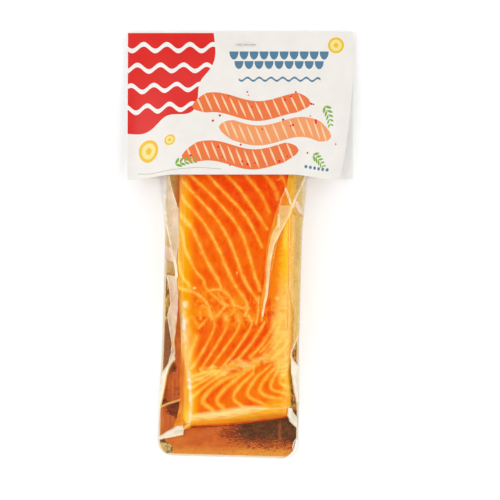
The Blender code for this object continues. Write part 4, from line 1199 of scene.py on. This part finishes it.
def foil_material():
    """Gold foil on card: copper by the fish, partly a painted reflection of the fish, brown where a dark
    reflection is painted, pale gold on the right.
    """
    g = Graph("gold_foil")
    speck = g.noise(0.0009, 4, 0.8, place=g.stretched((0.7, 1.2, 1.0)))
    stroke = g.noise(0.0012, 3, 0.75, place=g.stretched((0.38, 1.25, 1.0), 0.1))
    drawn = g.noise(0.0013, 4, 0.75, place=g.stretched((1.1, 0.32, 1.0)))
    coarse = g.noise(0.0026, 3, 0.75, place=g.stretched((0.8, 1.2, 1.0)))
    cloud = g.noise(0.010, 3, 0.6)
    streak = g.noise(0.003, 3, 0.6, place=g.stretched((1.8, 0.16, 1.0)))
    level = g.noise(0.0024, 3, 0.65, place=g.stretched((0.3, 1.0, 1.0), 0.05))

    def soft(name, low=0.4, high=0.6, reach=1.0):
        """A mask with a specked border."""
        wobble = g.plus(g.spread(stroke, 0.25, 0.75, -0.32, 0.32), g.spread(speck, 0.25, 0.75, -0.6, 0.6))
        wobble = g.times(wobble, reach)
        return g.spread(g.plus(g.attribute(name), wobble), low, high)

    colour = g.mix(g.spread(cloud, 0.3, 0.7), srgb(222, 104, 32), srgb(240, 126, 44))
    colour = g.mix(g.times(g.spread(level, 0.4, 0.7), 0.25), colour, srgb(255, 150, 66))
    colour = g.mix(g.times(g.attribute("foot_strip"), 0.75), colour, srgb(255, 166, 62))

    # The column left of the fish, darker in bands and in two corners
    rust = g.mix(g.spread(streak, 0.3, 0.7), srgb(222, 102, 40), srgb(244, 134, 56))
    colour = g.mix(g.attribute("column"), colour, rust)
    bands = g.times(g.attribute("banded"), g.spread(level, 0.42, 0.6, 0.2, 0.9))
    colour = g.mix(bands, colour, srgb(150, 58, 26))
    colour = g.mix(soft("maroon", 0.42, 0.62, 0.5), colour,
        g.mix(g.spread(level, 0.4, 0.6), srgb(116, 44, 20), srgb(152, 62, 32)))

    # Pale gold where the foil is seen beside the upper fish, orange close to it
    khaki = g.mix(g.spread(streak, 0.3, 0.7), srgb(240, 200, 100), srgb(255, 226, 130))
    khaki = g.mix(g.attribute("head"), khaki, srgb(255, 226, 140))
    colour = g.mix(g.attribute("khaki"), colour, khaki)
    tan = g.mix(g.spread(cloud, 0.35, 0.65), srgb(220, 174, 110), srgb(238, 204, 152))
    colour = g.mix(g.times(g.attribute("tan"), 0.8), colour, tan)
    colour = g.mix(g.times(g.attribute("glow"), 0.9), colour, srgb(255, 140, 34))
    colour = g.mix(g.times(g.attribute("outer"), 0.35), colour, srgb(206, 156, 84))

    # Crinkled foil: brown with gold streaks
    bright = g.mix(g.spread(coarse, 0.4, 0.6), srgb(236, 176, 92), srgb(255, 218, 128))
    specks = g.mix(g.spread(drawn, 0.44, 0.54), srgb(146, 92, 42), bright)
    specks = g.mix(g.spread(speck, 0.56, 0.70, 0.0, 0.7), specks, srgb(112, 70, 32))
    colour = g.mix(g.attribute("specked"), colour, specks)
    umber = g.mix(g.spread(speck, 0.38, 0.62), srgb(136, 84, 46), srgb(188, 120, 74))
    colour = g.mix(g.attribute("umber"), colour, umber)
    colour = g.mix(g.times(g.attribute("umber"), g.times(g.attribute("outer"), 0.8)), colour,
        srgb(255, 206, 110))
    pit = g.mix(g.spread(coarse, 0.46, 0.56), srgb(104, 66, 32), srgb(240, 200, 120))
    colour = g.mix(soft("corner", 0.42, 0.6, 0.3), colour, pit)

    # The dark reflection in front of the cut end, reddish along its borders
    blush = g.plus(g.attribute("blush"), g.spread(stroke, 0.3, 0.7, -0.5, 0.4))
    blush = g.spread(blush, 0.25, 0.75)
    colour = g.mix(g.times(blush, 0.8), colour,
        g.mix(g.spread(speck, 0.4, 0.6), srgb(134, 48, 20), srgb(184, 84, 36)))
    dark_reflection_tone = g.mix(g.spread(coarse, 0.35, 0.7), srgb(90, 48, 22), srgb(126, 76, 36))
    dark_reflection_tone = g.mix(g.spread(g.attribute("dark_reflection"), 0.95, 0.5, 0.0, 0.8), dark_reflection_tone, srgb(156, 62, 26))
    dark_reflection_tone = g.mix(g.spread(speck, 0.60, 0.68), dark_reflection_tone, srgb(202, 120, 70))
    copper = g.times(g.attribute("copper_streak"), g.spread(drawn, 0.35, 0.6, 0.3, 0.9))
    dark_reflection_tone = g.mix(copper, dark_reflection_tone, srgb(190, 100, 54))
    colour = g.mix(soft("dark_reflection", 0.30, 0.62), colour, dark_reflection_tone)
    colour = g.mix(g.times(g.attribute("tick"), g.spread(drawn, 0.35, 0.55, 0.4, 1.0)), colour,
        srgb(96, 58, 34))
    flecks = g.spread(speck, 0.66, 0.76, 0.0, 0.35)
    colour = g.mix(flecks, colour, srgb(140, 84, 40))
    return g.finish(g.principled({
        "Base Color": colour,
        "Metallic": 0.35,
        "Roughness": g.spread(speck, 0.3, 0.7, 0.30, 0.46),
        "Normal": g.bump(g.plus(speck, g.times(cloud, 3.0)), 0.00003, 0.5),
    }))


# Film


# How milky each kind of film is, from patch to patch, and its tint. In the crease and bright kinds the
# milky white is partly doubled film and partly a painted highlight
FILMS = {
    "clear": (0.0, 0.006, srgb(255, 240, 214)),
    "hazy": (0.16, 0.28, srgb(250, 222, 156)),
    "veil": (0.32, 0.48, srgb(248, 224, 144)),
    "cream": (0.58, 0.82, srgb(255, 228, 150)),
    "lemon": (0.50, 0.74, srgb(255, 196, 52)),
    "bright": (0.68, 0.94, srgb(255, 236, 186)),
    "doubled": (0.58, 0.78, srgb(252, 232, 204)),
    "milky": (0.84, 0.96, srgb(255, 249, 230)),
    "crease": (0.66, 0.94, srgb(255, 243, 216)),
    "gold": (0.50, 0.75, srgb(255, 222, 124)),
    "margin": (0.66, 0.80, srgb(250, 249, 249)),
    "tinted": (0.40, 0.66, srgb(255, 176, 58)),
    "blush": (0.60, 0.80, srgb(255, 232, 212)),
    "white": (0.94, 0.98, srgb(255, 254, 250)),
}


def film_outline():
    """The pouch's outline in millimetres, from the foot's left corner round by the right."""
    corner = BOARD_CORNER * (1 - np.cos(np.radians(np.linspace(0, 90, 10))))
    rows = np.concatenate([corner[:-1], np.linspace(BOARD_CORNER, POUCH_LENGTH, 170)])
    left, right = pouch_edges(rows)
    right_side = [(a / MM, l / MM) for a, l in zip(right, rows)]
    left_side = [(a / MM, l / MM) for a, l in zip(left, rows)][::-1]
    foot = [(a, 0.0) for a in np.linspace(left[0] / MM, right[0] / MM, 60)[1:-1]]
    top = [(a, POUCH_LENGTH / MM) for a in np.linspace(right[-1] / MM, left[-1] / MM, 50)[1:-1]]
    return foot + right_side + top + left_side


def beside(bends, offset):
    """A fold's line moved sideways, in millimetres."""
    line = np.array([b[:2] for b in bends], float)
    run = np.gradient(line, axis=0)
    run /= np.linalg.norm(run, axis=1, keepdims=True)
    return [tuple(p) for p in line + np.stack([-run[:, 1], run[:, 0]], axis=1) * offset]


def make_film():
    """The pouch as one closed skin: film over fish and board, flat film below, folds with milky creases that
    are partly painted highlights.
    """
    outline = film_outline()
    lines = []
    for half_width, crease, _, bends in FOLDS.values():
        for offset in (-half_width, -crease, 0.0, crease, half_width):
            lines.append((beside(bends, offset), False))
    lines += [(corners, True) for _, corners in FACETS.values()]
    body = hex_points((-50, 0.8), (50, POUCH_LENGTH / MM - 0.8), 2.2)
    left_side = hex_points((-46, 12), (-22, 196), 1.0)
    right_side = hex_points((28, 20), (46, 196), 1.0)
    foot = hex_points((-36, 11), (42, 36), 1.0)
    loose = np.concatenate([body, left_side, right_side, foot])
    draw = np.random.default_rng(11)
    loose = loose + draw.uniform(-0.22, 0.22, loose.shape)
    left_edge, right_edge = pouch_edges(loose[:, 1] * MM)
    margin = 0.5
    kept = (loose[:, 0] > left_edge / MM + margin) & (loose[:, 0] < right_edge / MM - margin)
    kept &= (loose[:, 1] > margin) & (loose[:, 1] < POUCH_LENGTH / MM - margin)
    flat, faces = triangulate(outline, loose[kept], lines)

    across, along = (flat * MM).T
    x, y = to_pack(across, along)
    z = film_height(across, along)
    tented = ease(0.0003, 0.003, z - pouch_underside(y, along) - BOARD_SLAB - fish_height(across, along))
    crumple = wander(np.stack([flat[:, 0], flat[:, 1], flat[:, 0] * 0], axis=-1), 6.0, 4)
    z = z + 0.0005 * crumple * tented
    upper = np.stack([x, y, z], axis=-1)
    lower = np.stack([x, y, pouch_underside(y, along)], axis=-1)

    count = len(flat)
    rim = rim_of(faces)
    walls = [(b, a, a + count, b + count) for a, b in rim]
    all_faces = list(faces) + [tuple(i + count for i in reversed(f)) for f in faces] + walls
    centres = np.array([flat[list(f)].mean(axis=0) for f in faces])
    names = list(FILMS)
    kinds = np.zeros(len(faces), int)
    for kind, corners in FACETS.values():
        kinds[inside(centres, corners)] = names.index(kind)
    centre_across, centre_along = (centres * MM).T
    for half_width, crease, kind, bends in FOLDS.values():
        nearest = fold_profile(centre_across, centre_along, bends, half_width)[1]
        kinds[nearest < crease * MM] = names.index(kind)
    indices = [*kinds, *[0] * len(faces), *[names.index("doubled")] * len(walls)]
    materials = [film_material("film_" + name, *look) for name, look in FILMS.items()]
    film = piece_from("pouch_film", np.concatenate([upper, lower]), all_faces, materials, indices,
        sharp_degrees=24)
    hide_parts("pouch")
    return film


def film_material(name, least_milk, most_milk, tint):
    """Clear film: it mirrors a little and lets the rest through, but for a milky share."""
    g = Graph(name)
    wrinkle = g.noise(0.005, 3, 0.6, distortion=0.8)
    patches = g.noise(0.0065, 2, 0.5)
    milk = g.spread(patches, 0.3, 0.7, least_milk, most_milk)
    normal = g.bump(wrinkle, 0.0003, 0.4)
    shine = g.add("ShaderNodeBsdfGlossy", {"Color": srgb(255, 240, 208), "Roughness": 0.1,
        "Normal": normal}).outputs[0]
    clear = g.add("ShaderNodeBsdfTransparent", {"Color": (0.995, 0.992, 0.985, 1)}).outputs[0]
    white = g.add("ShaderNodeBsdfDiffuse", {"Color": tint}).outputs[0]
    body = g.add("ShaderNodeMixShader", {0: milk, 1: clear, 2: white}).outputs[0]
    facing = g.add("ShaderNodeLayerWeight", {"Blend": 0.5, "Normal": normal}).outputs["Facing"]
    mirror = g.plus(0.010, g.times(g.math("POWER", facing, 5.0), 0.3))
    return g.finish(g.add("ShaderNodeMixShader", {0: mirror, 1: body, 2: shine}).outputs[0])


# Staple, floor, light and camera


def finish_staple():
    g = Graph("zinc_wire")
    drawn = g.noise(0.0006, 3, 0.6, place=g.stretched((0.2, 1.0, 1.0)))
    colour = g.mix(g.spread(drawn, 0.3, 0.7), srgb(178, 172, 162), srgb(226, 222, 214))
    steel = g.finish(g.principled({
        "Base Color": colour,
        "Metallic": 0.9,
        "Roughness": g.spread(drawn, 0.3, 0.7, 0.25, 0.42),
        "Normal": g.bump(drawn, 0.00001, 0.4),
    }))
    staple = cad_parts["staple"]
    staple.data.materials.clear()
    staple.data.materials.append(steel)


def make_floor():
    g = Graph("studio_floor")
    cloud = g.noise(0.3, 2)
    colour = g.mix(g.spread(cloud, 0.2, 0.8), srgb(250, 250, 251), srgb(253, 253, 253))
    white = g.finish(g.principled({
        "Base Color": colour,
        "Roughness": 0.9,
        "Specular IOR Level": 0.0,
        "Emission Color": (1, 1, 1, 1),
        "Emission Strength": 0.10,
    }))
    mesh = bpy.data.meshes.new("studio_floor")
    reach = 3.0
    mesh.from_pydata([(-reach, -reach, -0.0002), (reach, -reach, -0.0002), (reach, reach, -0.0002),
                      (-reach, reach, -0.0002)], [], [(0, 1, 2, 3)])
    mesh.materials.append(white)
    floor = bpy.data.objects.new("studio_floor", mesh)
    bpy.context.scene.collection.objects.link(floor)


def make_world():
    """Soft light all round, brightest halfway up, with a darker patch straight above."""
    world = bpy.data.worlds.new("studio")
    world.use_nodes = True
    tree = world.node_tree
    tree.nodes.clear()
    place = tree.nodes.new("ShaderNodeTexCoord")
    split = tree.nodes.new("ShaderNodeSeparateXYZ")
    ramp = tree.nodes.new("ShaderNodeValToRGB")
    back = tree.nodes.new("ShaderNodeBackground")
    out = tree.nodes.new("ShaderNodeOutputWorld")
    tree.links.new(place.outputs["Generated"], split.inputs[0])
    tree.links.new(split.outputs[2], ramp.inputs[0])
    stops = ((0.0, 0.95), (0.35, 1.0), (0.80, 1.0), (0.95, 0.30), (1.0, 0.10))
    elements = ramp.color_ramp.elements
    while len(elements) < len(stops):
        elements.new(0.5)
    for element, (position, level) in zip(elements, stops):
        element.position = position
        element.color = (level, level, level, 1)
    tree.links.new(ramp.outputs[0], back.inputs[0])
    back.inputs[1].default_value = WORLD_STRENGTH
    tree.links.new(back.outputs[0], out.inputs[0])
    bpy.context.scene.world = world


WORLD_STRENGTH = 1.0


def make_softbox(name, place, size, power):
    light = bpy.data.lights.new(name, "AREA")
    light.shape = "RECTANGLE"
    light.size, light.size_y = size
    light.energy = power
    thing = bpy.data.objects.new(name, light)
    bpy.context.scene.collection.objects.link(thing)
    thing.location = place
    thing.rotation_euler = (Vector((0, 0, 0)) - Vector(place)).to_track_quat("-Z", "Y").to_euler()


CAMERA_HEIGHT = 1.0
PHOTO_WIDTH = 500  # pixels
PHOTO_SCALE = 0.0006510  # metres to a pixel of the photograph, on the surface that the pack lies on
PHOTO_MIDDLE = (0.0062, -0.0033)  # what the photograph's centre looks at


def make_camera():
    data = bpy.data.cameras.new("camera")
    data.sensor_width = 36.0
    data.lens = data.sensor_width * CAMERA_HEIGHT / (PHOTO_WIDTH * PHOTO_SCALE)
    data.clip_start = 0.01
    camera = bpy.data.objects.new("camera", data)
    bpy.context.scene.collection.objects.link(camera)
    camera.location = (*PHOTO_MIDDLE, CAMERA_HEIGHT)
    bpy.context.scene.camera = camera


def main():
    scene = bpy.context.scene
    scene.view_settings.view_transform = "Standard"
    make_camera()
    make_world()
    make_softbox("softbox_left", (-0.75, 0.15, 0.75), (0.5, 0.9), 2.2)
    make_softbox("softbox_right", (0.8, -0.1, 0.6), (0.4, 0.9), 1.5)
    make_floor()
    make_header()
    make_board()
    make_fish()
    make_film()
    finish_staple()


main()
